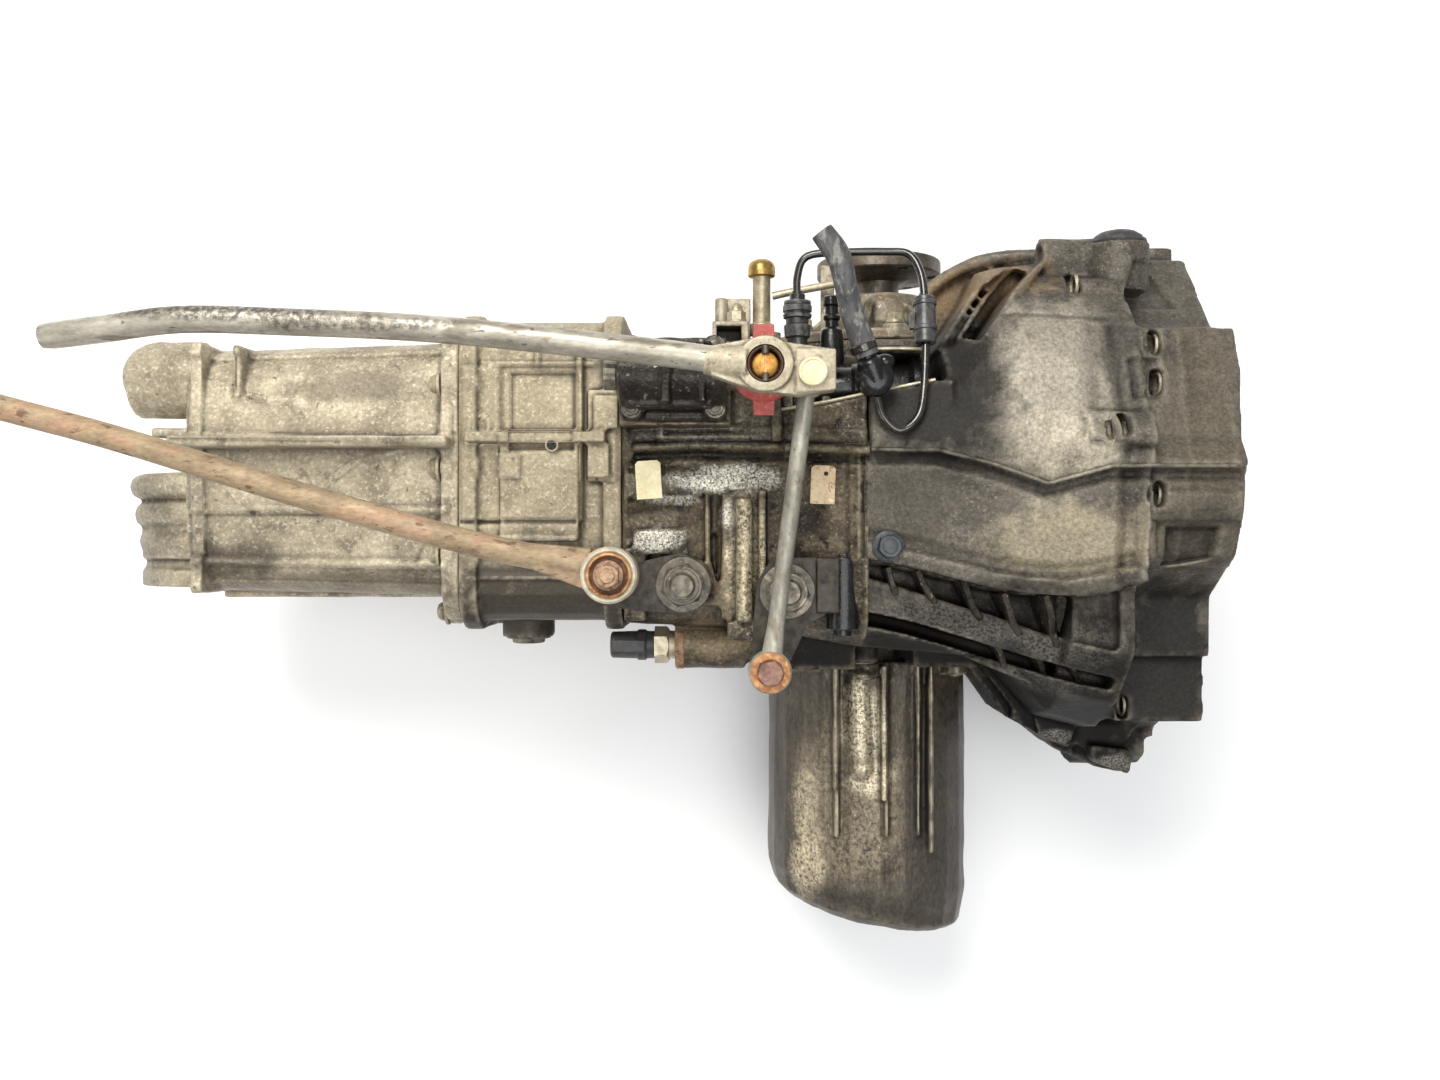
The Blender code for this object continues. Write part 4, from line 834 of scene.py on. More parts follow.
# The bell's bolt holes: y, z and the x of the face that the bolt's head bears on
HOLE_FACES = [
    (131, 108, -88), (88, 139, -48), (63, 148, -49), (35, 148, -75), (-5, 150, -50), (-101, 97, -50),
    (-143, 86, -50),
    (-152, -71, -40), (-91, -141, -40), (91, -141, -40), (152, -71, -40),
]


def bolt_holes():
    """The bores, each with the notch above its rear face that lets a bolt in."""
    bores = [cylinder(back - 6, 4, 6.2, "X", (0, y, z), 28) for y, z, back in HOLE_FACES]
    return bores + [
        block((back - 6.5, back + 0.4), (y - 8, y + 8), (z - 7, z + 40)) for y, z,
        back in HOLE_FACES if z > 0
    ]


def blade(path, tops, low, thickness):
    """A thin upright rib along a plan path, whose top height varies."""
    rings = []
    for i, ((x, y), top) in enumerate(zip(path, tops)):
        ahead = Vector(path[min(i + 1, len(path) - 1)]) - Vector(path[max(i - 1, 0)])
        across = Vector((-ahead.y, ahead.x)).normalized() * thickness / 2
        rings.append([
            (x - across.x, y - across.y, low), (x + across.x, y + across.y, low),
            (x + across.x, y + across.y, top), (x - across.x, y - across.y, top),
        ])
    return loft(rings)


def housing_half(low_x, high_x):
    return boolean(
        frame_shape("gearbox_housing"), block((low_x, high_x), (-260, 260), (-260, 260)), "INTERSECT",
    )


def recess_lip():
    """The ledge that overhangs the clutch slave cylinder's recess."""
    rings = []
    for x, edge, low, top in (
        (-276, 50, 106, 117), (-250, 54, 124, 127.5), (-224, 59, 126, 135), (-198, 63.5, 131, 142),
        (-174, 66, 131, 149),
    ):
        rings.append([(x, 20, low), (x, edge, low), (x, edge, top - 1), (x, 20, top)])
    return loft(rings)


def split_ledge(low_x, high_x):
    return boolean(recess_lip(), block((low_x, high_x), (0, 100), (80, 200)), "INTERSECT")


def offset(route, dx, dy):
    return [(x + dx, y + dy) for x, y in route]


def sloped(near, far, top_near, top_far, low):
    """A slab between two plan routes, whose top falls from the first to the second."""
    rings = [
        [(*a, low), (*a, top_near), (*b, top_far), (*b, low)]
        for a, b in zip(near, far)
    ]
    return loft(rings)


def bell_webs():
    """Ribs of the left side and the shelf below them."""
    shelf = [(-178, 84), (-174, 138), (-153, 151), (-128, 158), (-98, 157), (-74, 148), (-84, 90)]
    rim = [
        (-178, 128, 60), (-173, 139, 62), (-153, 152, 66), (-128, 159, 70), (-98, 158, 78), (-78, 150, 88),
    ]
    return [
        plate(shelf, 34, 60),
        swept(rim, 4.5, 12),
        blade(
            [(-136, 144), (-148, 132), (-158, 118), (-168, 102), (-178, 88)], (98, 108, 116, 120, 122), 50,
            4,
        ),
        blade(
            [(-104, 149), (-117, 137), (-130, 123), (-141, 108), (-152, 92)], (108, 122, 134, 142, 148), 50,
            4,
        ),
        blade(
            [(-122, 148), (-134, 137), (-145, 124), (-155, 110), (-166, 94)], (90, 100, 112, 120, 126), 50,
            3,
        ),
    ]


def groove_blades():
    """Thin ribs that cross the grooves under the lip."""
    blades = []
    spans = (
        (-211, -50, 6, -18, 131), (-193, -52, 13, -21, 134), (-165, -58, 14, -26, 137),
        (-140, -66, 14, -28, 139), (-115, -67, 13, -34, 144),
    )
    for x, y, dx, dy, top in spans:
        path = [(x, y), (x + dx * 0.3, y + dy * 0.35), (x + dx * 0.62, y + dy * 0.7), (x + dx, y + dy)]
        blades.append(blade(path, (top, top - 3, 129, 125.5), 100, 4.2))
    for x, y in ((-139, -99), (-113, -106), (-90, -114)):
        blades.append(blade([(x, y), (x + 5, y - 8), (x + 9, y - 18)], (112, 107, 100), 80, 3.8))
    piece("bell_groove_blades", merged(*blades), OILY_CAST, bevel=1.2)


def oily_lump():
    """The angular corner of the casting round the starter's seat."""
    corner = [
        (-138, -116), (-134, -128), (-122, -142), (-108, -162), (-86, -174), (-70, -187), (-55, -192),
        (-43, -199), (-23, -203), (-19, -191), (-6, -170), (-6, -120),
    ]
    facets = (
        plate([(-92, -160), (-88, -174), (-66, -182), (-62, -168)], 16, 26),
        plate([(-52, -180), (-50, -192), (-24, -201), (-20, -184)], 14, 28),
    )
    return [plate(corner, -60, 8), plate([(x * 0.92 - 6, y * 0.9 - 9) for x, y in corner], 0, 18), *facets]


# The bell's flange seen from the engine, as (y, z): its top outline, and the lower edge of its thick part
FLANGE_TOP = [
    (153, 70), (104, 115), (97, 146), (69, 156), (27, 157), (14, 165), (-14, 161), (-42, 150), (-52, 137),
    (-70, 112), (-108, 111), (-110, 101), (-152, 100),
]
FLANGE_FILL = [
    (-152, 56), (-130, 58), (-100, 72), (-58, 108), (-40, 134), (0, 144), (60, 130), (100, 100), (133, 61),
]


def sliced(outline, floor, low_x, high_x):
    """The space above a floor inside a plan outline, between two places along X."""
    return boolean(
        plate(outline, floor, 210), block((low_x, high_x), (-210, 170), (floor - 5, 215)), "INTERSECT",
    )


def draped(made, route, lift):
    """A broken line in plan, laid on the top of a casting."""
    co = np.zeros(len(made.data.vertices) * 3)
    made.data.vertices.foreach_get("co", co)
    co = (co.reshape(-1, 3) - np.array(ORIGIN)) / MM
    laid = []
    for (ax, ay), (bx, by) in zip(route, route[1:]):
        for share in np.arange(0, 1, 0.2):
            x, y = ax + (bx - ax) * share, ay + (by - ay) * share
            near = np.hypot(co[:, 0] - x, co[:, 1] - y) < 1.8
            laid.append((x, y, co[near, 2].max() + lift))
    return laid


def bell_casting():
    cup = cut(
        cylinder(-108, -64, 12, "X", (0, 152, 100), 32),
        cylinder(-120, -84, 7.5, "X", (0, 152, 100), 32),
    )
    adds = [
        cup,
        cylinder(128, 159, 20, "Y", (-58, 0, 104), 40),
        split_ledge(SEAM_X + 0.4, -170),
        block((-228 + 4.4, -188), (85, 90), (70, 131)),
        cylinder(-222, -212, 12, "X", (0, -37, 122), 32),
        # A wall that closes the hollow beside the starter's seat; the bell's near-black zone paints it as
        # shade.
        block((-182, -138), (-122, -104), (-40, 50)),
        *bell_webs(),
        *oily_lump(),
    ]
    groove_blades()
    outside = FLANGE_TOP + [
        (-153, 60), (-158, 30), (-172, 8), (-240, 8), (-240, 240), (240, 240), (240, 46), (162, 46),
        (158, 66),
    ]
    for y, z, back in HOLE_FACES:
        adds.append(
            cut(
                cylinder(back + 0.4, -3, 13.5, "X", (0, y, z), 32), prism(outside, -130, 8, "X"),
                *bolt_holes(),
            )
        )
    groove = LIP[:-1] + [(-60, -102), (-76, -101), (-110, -93), (-144, -81), (-190, -67), (-232, -54)]
    second = TERRACE_EDGE + offset(TERRACE_EDGE, 0, -9)[::-1]
    ledge = offset(TERRACE_EDGE, 0, -9)[1:] + LEDGE_EDGE[::-1]
    pocket = [(-168, 98), (-150, 128), (-126, 147), (-112, 142), (-140, 108), (-156, 90)]
    adds.append(plate(ledge, 58, 97.5))
    starter_side = [
        (-150, -110), (-138, -116), (-134, -128), (-122, -142), (-108, -162), (-86, -174), (-70, -187),
        (-55, -192), (-50, -230), (-170, -230),
    ]
    body = cut(
        housing_half(SEAM_X - 1.5, 10),
        prism(outside, -60, 8, "X"),
        plate(starter_side, -75, 60),
        sliced(offset(LIP, 0, 2)[::-1] + TERRACE_EDGE, 124, -300, -100),
        sliced(groove, 104, -300, -97), sliced(groove, 138, -97.1, -70), sliced(groove, 146, -70.1, -56),
        sliced(second, 84, -300, -97), sliced(second, 102, -97.1, -66),
        sliced(ledge, 98, -190, -97), sliced(ledge, 104, -97.1, -66),
        sliced(pocket, 84, -200, -60),
    )
    adds.append(cut(prism(FLANGE_TOP + FLANGE_FILL, -58, -0.5, "X"), *bolt_holes()))
    body = cut(body, *bolt_holes())
    strokes = [
        ("step", RIDGE[3:], 40, 7.5, 1.0, 100),
        ("line", offset(RIDGE[3:], 0, -5), 6, -2.4, 4, 100),
        ("line", offset(LIP[:8], 0, 7), 11, 2.6, 3, 90),
        ("line", offset(LIP[:8], 0, 17), 8, -2.0, 5, 90),
        ("area", [(-60, -50), (-1, -50), (-1, 100), (-60, 100)], 0, 3.2, 2.0, 90),
        ("line", [(-71, -58), (-71, 96)], 12, -4.0, 8, 90),
        ("area", [(-58, -21), (-2, -21), (-2, -4), (-58, -4)], 0, 2.4, 1.6, 90),
        ("area", [(-46, -25), (-14, -25), (-16, -44), (-44, -50)], 0, -6.0, 3, 90),
        ("line", [(-57, -24), (-54, -44), (-60, -62)], 5, 3.0, 2, 90),
        ("area", [(-98, 28), (-98, 44), (-60, 44), (-60, 22)], 0, 3.2, 2.4, 100),
        ("area", [(-62, 118), (-54, 146), (-26, 146), (-18, 118)], 0, -3.4, 3, 60),
        ("line", [(-150, 107), (-60, 104)], 4, -1.8, 4, 60),
        ("line", [(-84, 46), (-82, 98)], 18, -4.0, 12, 60),
        ("area", [(-150, 20), (-98, 20), (-94, 100), (-135, 100)], 0, 2.6, 14, 100),
        ("area", [(-68, 52), (-68, 78), (-50, 78), (-50, 52)], 0, -2.6, 2, 60),
        ("line", [(-36, -60), (-36, 100)], 1.6, 1.2, 1.6, 120),
    ]
    made = casting(
        "bell_housing_casting", merged(body, *adds), CAST_BELL, "gearbox_housing", 1.8,
        strokes,
    )
    piece("bell_ridge_edge", swept(draped(made, RIDGE[3:], 0.1), 1.2, 12, steps=2), CAST_BELL)


def case_casting():
    adds = [
        cylinder(-380, -266, 19, "X", (0, 2, 84), 32),
        ball((-266, 2, 84), (18, 19, 19)),
        sloped([(-346, -6), (-346, -40), (-340, -76)], [(-325, -6), (-325, -40), (-318, -76)], 96, 108, 70),
        blade([(-325, -2), (-325, -46), (-316, -78)], (117, 116, 104), 80, 3.0),
        block((-316, -299), (-84, -2), (80, 108)),
        cylinder(-86, -6, 5.5, "Y", (-301.5, 0, 112)),
        # A wall that closes the gap between the case and the heat shield; the case's near-black zone paints
        # it as shade.
        block((-272, SEAM_X), (-122, -70), (-40, 60)),
        block((-292, -288), (-74, -1), (70, 117)),
        block((-312, -288), (-98, -86), (50, 112)),
        split_ledge(-290, SEAM_X - 0.4),
        *(cylinder(80, 128, 17.5, "Z", (*at, 0), 40) for at in BRACKET_STUDS.values()),
        cylinder(-347, -300, 16, "X", SWITCH, 40),
        ball((-306, -103, 60), (26, 15, 17)),
        block((-252, -246), (40, 95), (60, 119)),
        block((-284, -278), (30, 100), (60, 121)),
        block((-380, -366), (-86, -38), (60, 100)),
        block((-374, -341), (-42, -26), (80, 100.5)),
    ]
    body = cut(housing_half(-400, SEAM_X + 1), block((-325, -318), (-62, -28), (98, 130)))
    strokes = [
        ("line", RIDGE[:4], 5, 5.0, 2, 80),
        ("line", offset(RIDGE[:4], 0, 9), 8, 1.8, 2, 80),
        ("line", offset(RIDGE[:4], 0, -6), 5, -2.5, 3, 80),
        ("line", [(-232, -44), (-232, 20)], 7, 2.0, 2.5, 100),
        ("line", [(-226, -44), (-226, 18)], 1.2, -2.4, 1.6, 100),
        ("line", [(-356, 40), (-356, 34), (-300, 34)], 4, 2.4, 2, 80),
    ]
    casting(
        "gear_case_casting", merged(body, *adds), CAST_CASE, "gearbox_housing", 1.6, strokes,
        wave=(26, 0.3),
    )


def bearing_casting():
    adds = [cylinder(-490, -476, 8.5, "X", (0, y, z), 24) for y, z in COVER_BOLTS]
    adds += [
        block((-404, -386), (6, 66), (70, 96)),
        block((-400, -384), (40, 62), (80, 101)),
        block((-404, -390), (8, 30), (80, 99.5)),
        block((-412, -408), (-20, 96), (70, 93.5)),
        block((-478, -390), (96, 101), (40, 84)),
        cylinder(-102, -80, 18.5, "Y", (-455, 0, 20), 40),
    ]
    strokes = [
        ("area", [(-487, -20), (-487, 82), (-463, 82), (-463, -20)], 0, 2.4, 1.4, 60),
        ("area", [(-456, 26), (-456, 78), (-413, 78), (-413, 26)], 0, -2.4, 1.4, 60),
        ("area", [(-463, 8), (-463, 24), (-449, 24), (-449, 8)], 0, 2.0, 1.2, 60),
        ("line", [(-482, 36), (-482, 46), (-476, 50), (-470, 46), (-470, 36)], 1.4, 1.2, 1.2, 60),
        ("line", [(-409, 6), (-409, 76)], 1.6, 1.8, 1.2, 60),
        ("line", [(-489, -21), (-412, -21)], 2, -2.8, 1.6, 60),
        ("line", [(-484, -58), (-404, -58)], 3, 1.6, 2.4, 60),
        ("area", [(-474, -44), (-474, -30), (-410, -30), (-410, -44)], 0, 1.8, 2, 60),
        ("line", [(-474, 84), (-400, 84)], 3, 1.8, 2, 60),
        ("line", [(-438, 84), (-438, 112)], 3, 1.8, 2, 40),
    ]
    casting(
        "bearing_housing_casting", merged(frame_shape("bearing_housing"), *adds), CAST_BEARING,
        "bearing_housing", 1.5, strokes, wave=(34, 0.15),
    )


def finger(y, wide, reach, half, z):
    """One thick rounded fin of the end wall."""
    rings = []
    for across, share in (
        (-9.2, 0.8), (-8.6, 0.9), (-6, 0.97), (0, 1.0), (6, 0.97), (8.6, 0.9), (9.2, 0.8),
    ):
        turns = [math.radians(-90 + 12 * k) for k in range(16)]
        rings.append(
            [
                (-682 - reach * share * math.cos(a), y + across * wide, z + half * share * math.sin(a))
                for a in turns
            ]
        )
    return loft(rings)


def cover_casting():
    adds = [cylinder(-502.4, -494, 8.5, "X", (0, y, z), 24) for y, z in COVER_BOLTS]
    adds += [
        ball((-706, 80, 44), (28, 26, 25), 32), cylinder(-706, -676, 25.5, "X", (0, 80, 44)),
        block((-708, -676), (38, 44), (10, 62)),
        block((-671, -663), (-69, 99), (40, 85.5)),
        block((-641, -636), (62, 97), (60, 87.5)),
        cylinder(-712, -676, 20, "X", (0, 26, -30), 32),
        ball((-712, 26, -30), (14, 20, 20)),
    ]
    fins = ((5, 1.0), (-14.5, 1.0), (-34, 1.0), (-55.5, 1.2))
    adds += [finger(y, wide, 62 - 2 * i, 54 - i, 8 - 3 * i) for i, (y, wide) in enumerate(fins)]
    strokes = [
        ("line", [(-676, 38), (-494, 34)], 2, 1.6, 2, 60),
        ("step", [(-676, 34), (-600, 33), (-494, 29)], 34, 2.6, 1.4, 60),
        ("area", [(-676, -10), (-676, -46), (-520, -50), (-504, -18)], 0, -2.4, 5, 20),
        ("line", [(-676, -13), (-500, -13)], 4, 2.2, 3, 40),
        ("line", [(-676, -46), (-500, -50)], 5, 2.6, 4, 0),
        ("line", [(-676, -63), (-500, -67)], 6, 2.0, 4, -20),
        ("line", [(-640, 66), (-640, 90)], 2, -2, 1.6, 60),
        ("line", [(-676, 92), (-500, 96)], 5, 2.0, 4, 20),
        ("line", [(-600, -10), (-560, 20), (-530, 26)], 1.5, 0.8, 1.5, 60),
    ]
    casting(
        "rear_cover_casting", merged(frame_shape("rear_cover"), *adds), CAST_COVER,
        "rear_cover", 1.7, strokes, wave=(36, 0.25),
    )


def side_cover_bolts():
    x, _, z = AXLE
    turns = [math.pi * 2 * k / SIDE_COVER_BOLTS for k in range(SIDE_COVER_BOLTS)]
    return [
        (x + SIDE_COVER_BOLT_CIRCLE * math.cos(a), z + SIDE_COVER_BOLT_CIRCLE * math.sin(a))
        for a in turns
    ]


def small_castings():
    x, _, z = AXLE
    webs = []
    for k in range(8):
        turn = math.pi * 2 * k / 8 + 0.3
        way = Vector((math.cos(turn), 0, math.sin(turn)))
        across = Vector((-way.z, 0, way.x)) * 2.6
        centre = Vector((x, 0, z))
        rings = []
        for reach, top in ((38, 152), (62, 132), (88, 122)):
            p = centre + way * reach
            rings.append([
                p - across + Vector((0, 112.6, 0)), p + across + Vector((0, 112.6, 0)),
                p + across + Vector((0, top, 0)), p - across + Vector((0, top, 0)),
            ])
        webs.append(loft(rings))
    rim = [cylinder(112.6, 124, 8.5, "Y", (bolt_x, 0, bolt_z), 24) for bolt_x, bolt_z in side_cover_bolts()]
    casting(
        "side_cover_casting", merged(frame_shape("diff_side_cover"), *webs, *rim), CAST_SIDE,
        "diff_side_cover", 1.3, wave=(24, 0.2),
    )
    cover = [
        cylinder(-379, -313, 18.5, "X", (0, 68, 148)),
        ball((-376, 68, 148), (6, 18, 18)),
        block((-352, -347), (50, 88), (130, 168)),
        block((-330, -326), (50, 88), (130, 166)),
    ]
    cover += [cylinder(134, 140, 8, "Z", (x, y, 0), 24) for x, y in SELECTOR_COVER_BOLTS]
    casting(
        "selector_cover_casting", merged(frame_shape("selector_cover"), *cover), OILY_CAST,
        "selector_cover", 1.2, wave=(18, 0.3),
    )
    ribs = ((-233, 17, -214), (-198, 18, -222), (-163, 13, -262))
    adds = [block((rx - 1.8, rx + 1.8), (end, -124), (-30, top)) for rx, top, end in ribs]
    collar = boolean(
        tube(-131, -123, 78, 62, "Y", (-201, 0, -66), 64), block((-300, -100), (-140, -110), (-64, 30)),
        "INTERSECT",
    )
    adds.append(collar)
    strokes = [
        ("line", [(-247, -126), (-244, -290)], 7, 1.6, 6, -60),
        ("line", [(-216, -134), (-214, -200)], 12, 4.0, 8, -60),
        ("line", [(-262, -292), (-205, -308), (-150, -318)], 12, -2.0, 10, -60),
        ("line", [(-140, -170), (-138, -300)], 10, 1.6, 8, -60),
    ]
    casting(
        "heat_shield_casting", merged(frame_shape("heat_shield"), *adds), CAST_SHIELD,
        "heat_shield", 1.5, strokes, wave=(32, 0.4),
    )


# Fasteners and fittings on the castings


def hex_bolt(name, at, axis, across_flats, height, material, washer=0.0):
    """A bolt head with its pressed-on washer; a domed centre mark on top."""
    radius = across_flats * 0.64
    low = 0.2
    skirt = [(low, radius + washer), (low + 1.4, radius + washer), (low + 2.2, radius)]
    top = low + height
    mark = [(top, across_flats * 0.4), (top + 1.6, across_flats * 0.33), (top + 1.9, across_flats * 0.2)]
    shells = [
        turned(skirt, axis, at, 40), hexed(height, across_flats, axis, at, low + 1.2, 0.3),
        turned(mark, axis, at, 32),
    ]
    piece(name, merged(*shells), material, bevel=0.35)


def domed_bolt(name, at, axis, radius, material):
    profile = [
        (0.2, radius + 3), (2.0, radius + 3), (2.6, radius + 0.5), (5.5, radius), (7.6, radius * 0.8),
        (8.6, radius * 0.4),
    ]
    piece(name, turned(profile, axis, at, 36), material)


def fasteners():
    hex_bolt("case_flange_bolt_top", (-212, -37, 138.5), "Z", 13.5, 8, SEAM_STEEL, washer=1.6)
    for number, (y, z) in enumerate(COVER_BOLTS, 1):
        domed_bolt(f"cover_bolt_{number}", (-502.8, y, z), (-1, 0, 0), 6.2, CAST_BEARING)
    seam = ((-90, 60), (-98, 0), (-98, -70), (-90, -130), (-40, -168), (30, -168), (84, -130), (84, 40))
    for number, (y, z) in enumerate(seam, 1):
        piece(
            f"case_flange_bolt_{number}",
            merged(cylinder(-222, -212, 9.5, "X", (0, y, z), 32), hexed(7, 13, (-1, 0, 0), (-222, y, z))),
            DARK_STEEL, bevel=0.3,
        )
    for number, (x, z) in enumerate(side_cover_bolts(), 1):
        hex_bolt(f"side_cover_bolt_{number}", (x, 124.2, z), "Y", 10, 6, ZINC)
    for number, (x, y) in enumerate(SELECTOR_COVER_BOLTS, 1):
        hex_bolt(f"selector_cover_bolt_{number}", (x, y, 140), "Z", 10, 6, DARK_STEEL)
    rings = []
    for y, z, back in HOLE_FACES:
        profile = [
            (back - 0.6, 6.6), (back - 0.6, 8.0), (back + 0.5, 8.6), (back + 1.2, 8.6), (back + 1.2, 5.8),
            (back + 0.6, 5.8),
        ]
        rings.append(turned(profile, "X", (0, y, z), 40, ring=True))
    piece("bell_bolt_hole_faces", merged(*rings), CAST_SIDE)
    for label, turn in (("rear", 0.3), ("front", 0.9)):
        place = (*BRACKET_STUDS[label], 0)
        seat = 134.6
        shells = merged(
            tube(seat, seat + 3, 17.5, 8.2, "Z", place, 48),
            hexed(13, 24, "Z", place, seat + 3, turn),
            turned([(128.6, 8), (seat + 22, 8), (seat + 24, 6.6)], "Z", place, 40),
            turned([(seat + 15, 10.6), (seat + 17, 10.2), (seat + 17.4, 8)], "Z", place, 40),
        )
        piece(f"bracket_nut_{label}_detail", shells, DARK_STEEL, bevel=0.5)
    rear = plate([
        (-398, -66), (-390, -74), (-372, -77), (-345, -79), (-328, -72), (-321, -58), (-328, -46),
        (-342, -41), (-360, -45), (-378, -50), (-398, -48),
    ], 128.3, 134.3)
    front = plate([
        (-296, -120), (-287, -123), (-278, -120), (-262, -86), (-251, -80), (-251, -44), (-284, -44),
        (-294, -60), (-296, -84),
    ], 128.3, 134.3)
    rear_spacer = tube(134, 152.4, 9, 5.3, "Z", (*SUPPORT_EYE, 0), 40)
    front_spacer = tube(134, 158.4, 8, 5.3, "Z", (*LINK_PIVOT, 0), 40)
    piece(
        "support_bracket_rear", merged(rear, rear_spacer), BRACKET,
        stands_for="support_bracket", bevel=0.8,
    )
    piece(
        "support_bracket_front", merged(front, front_spacer), BRACKET,
        stands_for="support_bracket", bevel=0.8,
    )
    piece(
        "bracket_stop_block", block((-257, -242), (-79, -44), (122, 137)), BRACKET, bevel=1.5,
    )
    spacer = merged(
        tube(-90, -44, 10.5, 6, "Y", (-239, 0, 122), 48),
        turned([(-94, 5.8), (-42, 5.8)], "Y", (-239, 0, 122), 32),
    )
    piece("shield_stay_spacer", spacer, OILY_PLASTIC, bevel=0.6)
    for number, (x, z) in enumerate(SHIELD_BOLTS, 1):
        shells = merged(
            tube(-131, -119, 7.4, 4.6, "Y", (x, 0, z), 36),
            turned([(-134, 4.2), (-133, 4.6), (-96, 4.6)], "Y", (x, 0, z), 32),
        )
        piece(f"heat_shield_bolt_{number}_detail", shells, GREY_ROD, bevel=0.3)


def small_fittings():
    body = turned(
        [(-392, 7.5), (-391, 9), (-374, 9.5), (-373, 10.6), (-368, 10.6), (-367, 9.4), (-362, 9.4)], "X",
        SWITCH, 40,
    )
    piece(
        "reverse_switch_connector", merged(body, block((-390, -368), (-109, -101), (66, 72))), DULL_PLASTIC,
        stands_for="reverse_light_switch", bevel=0.5,
    )
    piece(
        "reverse_switch_hex",
        merged(hexed(10, 22, "X", SWITCH, -361.8), cylinder(-352, -346.6, 9.6, "X", SWITCH)), ZINC,
        stands_for="reverse_light_switch", bevel=0.4,
    )
    piece("switch_boss_ring", tube(-347.6, -341, 16.6, 7.2, "X", SWITCH, 48, 1.2), RUSTY_RING)
    breather = (-289, 0, 78)
    piece(
        "breather_body", turned([(104.6, 8), (112, 8), (113, 6), (143, 6), (144, 6.6)], "Y", breather, 40),
        ZINC, stands_for="breather", bevel=0.3,
    )
    piece(
        "breather_cap",
        turned(
            [(143.8, 7.4), (144.4, 9), (150, 9.2), (153, 8.2), (155.2, 5.4), (156, 2)], "Y", breather, 40,
        ),
        BRASS, stands_for="breather",
    )
    box_bracket = merged(
        cut(block((-322, -298), (92, 112), (60, 92)), block((-319, -303), (95.5, 108.5), (74, 100))),
        cylinder(111, 131, 4.4, "Y", (-316, 0, 70), 32), block((-320, -296), (104, 133), (50, 62)),
    )
    piece("breather_bracket", box_bracket, CAST_SIDE, bevel=0.9)
    dome = merged(
        turned([(112.2, 7), (114, 7), (114.4, 5)], "Y", (-306, 0, 82), 32),
        hexed(6, 11, "Y", (-306, 0, 82), 114),
        turned([(120, 4.6), (123, 4.2), (125, 2.8), (126, 1)], "Y", (-306, 0, 82), 32),
    )
    piece("breather_bracket_nut", dome, ZINC, bevel=0.3)
    stay = swept([(-282, 130, 84), (-270, 132.5, 85), (-245, 137, 86), (-236, 139, 86)], 2.6, 16)
    piece("breather_stay", stay, ZINC)
    strip = plate([(-249, 80), (-240, 80), (-240, 152), (-249, 152)], 74, 78)
    piece("breather_stay_strip", strip, CAST_SIDE, bevel=0.5)
    plug = (-58, 0, 104)
    shells = turned(
        [
            (150, 13.8), (158.8, 13.8), (158.8, 18), (160, 18.6), (161.6, 18), (161.8, 16.6), (164, 15.6),
            (166.6, 12), (168, 7), (168.4, 2),
        ],
        "Y", plug, 56,
    )
    piece("inspection_plug_detail", shells, DULL_PLASTIC)
    filler = (-455, 0, 20)
    shells = merged(
        turned([(-92, 10.8), (-100.4, 10.8), (-100.6, 16), (-103, 16), (-103.6, 15)], "Y", filler, 48),
        cut(
            turned([(-103, 12), (-106.5, 11.4), (-107, 10)], "Y", filler, 48),
            prism(hexagon(10), -112, -104, "Y", filler),
        ),
    )
    piece("filler_plug_detail", shells, CAST_BEARING, bevel=0.4)
    for name, centre, size, turn, material in (
        ("cream_label", (-363.5, 6.2, 105.6), (16.5, 25), 0.06, CREAM),
        ("worn_label", (-251.8, 2, 126.6), (15.5, 24.5), -0.04, OLD_LABEL),
    ):
        wide, tall = size[0] / 2, size[1] / 2
        corners = [
            (-wide, -tall), (wide, -tall), (wide, tall - 2), (wide - 2, tall), (-wide + 2, tall),
            (-wide, tall - 2),
        ]
        x, y, top = centre
        c, s = math.cos(turn), math.sin(turn)
        shape = plate([(x + a * c - b * s, y + a * s + b * c) for a, b in corners], top - 0.6, top)
        if name == "worn_label":
            shape = cut(shape, cylinder(top - 2, top + 2, 1.4, "Z", (x + 2, y + 7, 0), 24))
        piece(name, shape, material, bevel=0.12)
    piece("panel_hole_rim", tube(92, 102.8, 4.4, 3.2, "Z", (-427, 29, 0), 32), CAST_BEARING)
    # Painted shade: a near-black plug just below the rim stands for the dark inside of the hole.
    piece("panel_hole_shade", cylinder(92, 101.6, 3.3, "Z", (-427, 29, 0), 24), OILY_PLASTIC)


# Clutch hydraulics


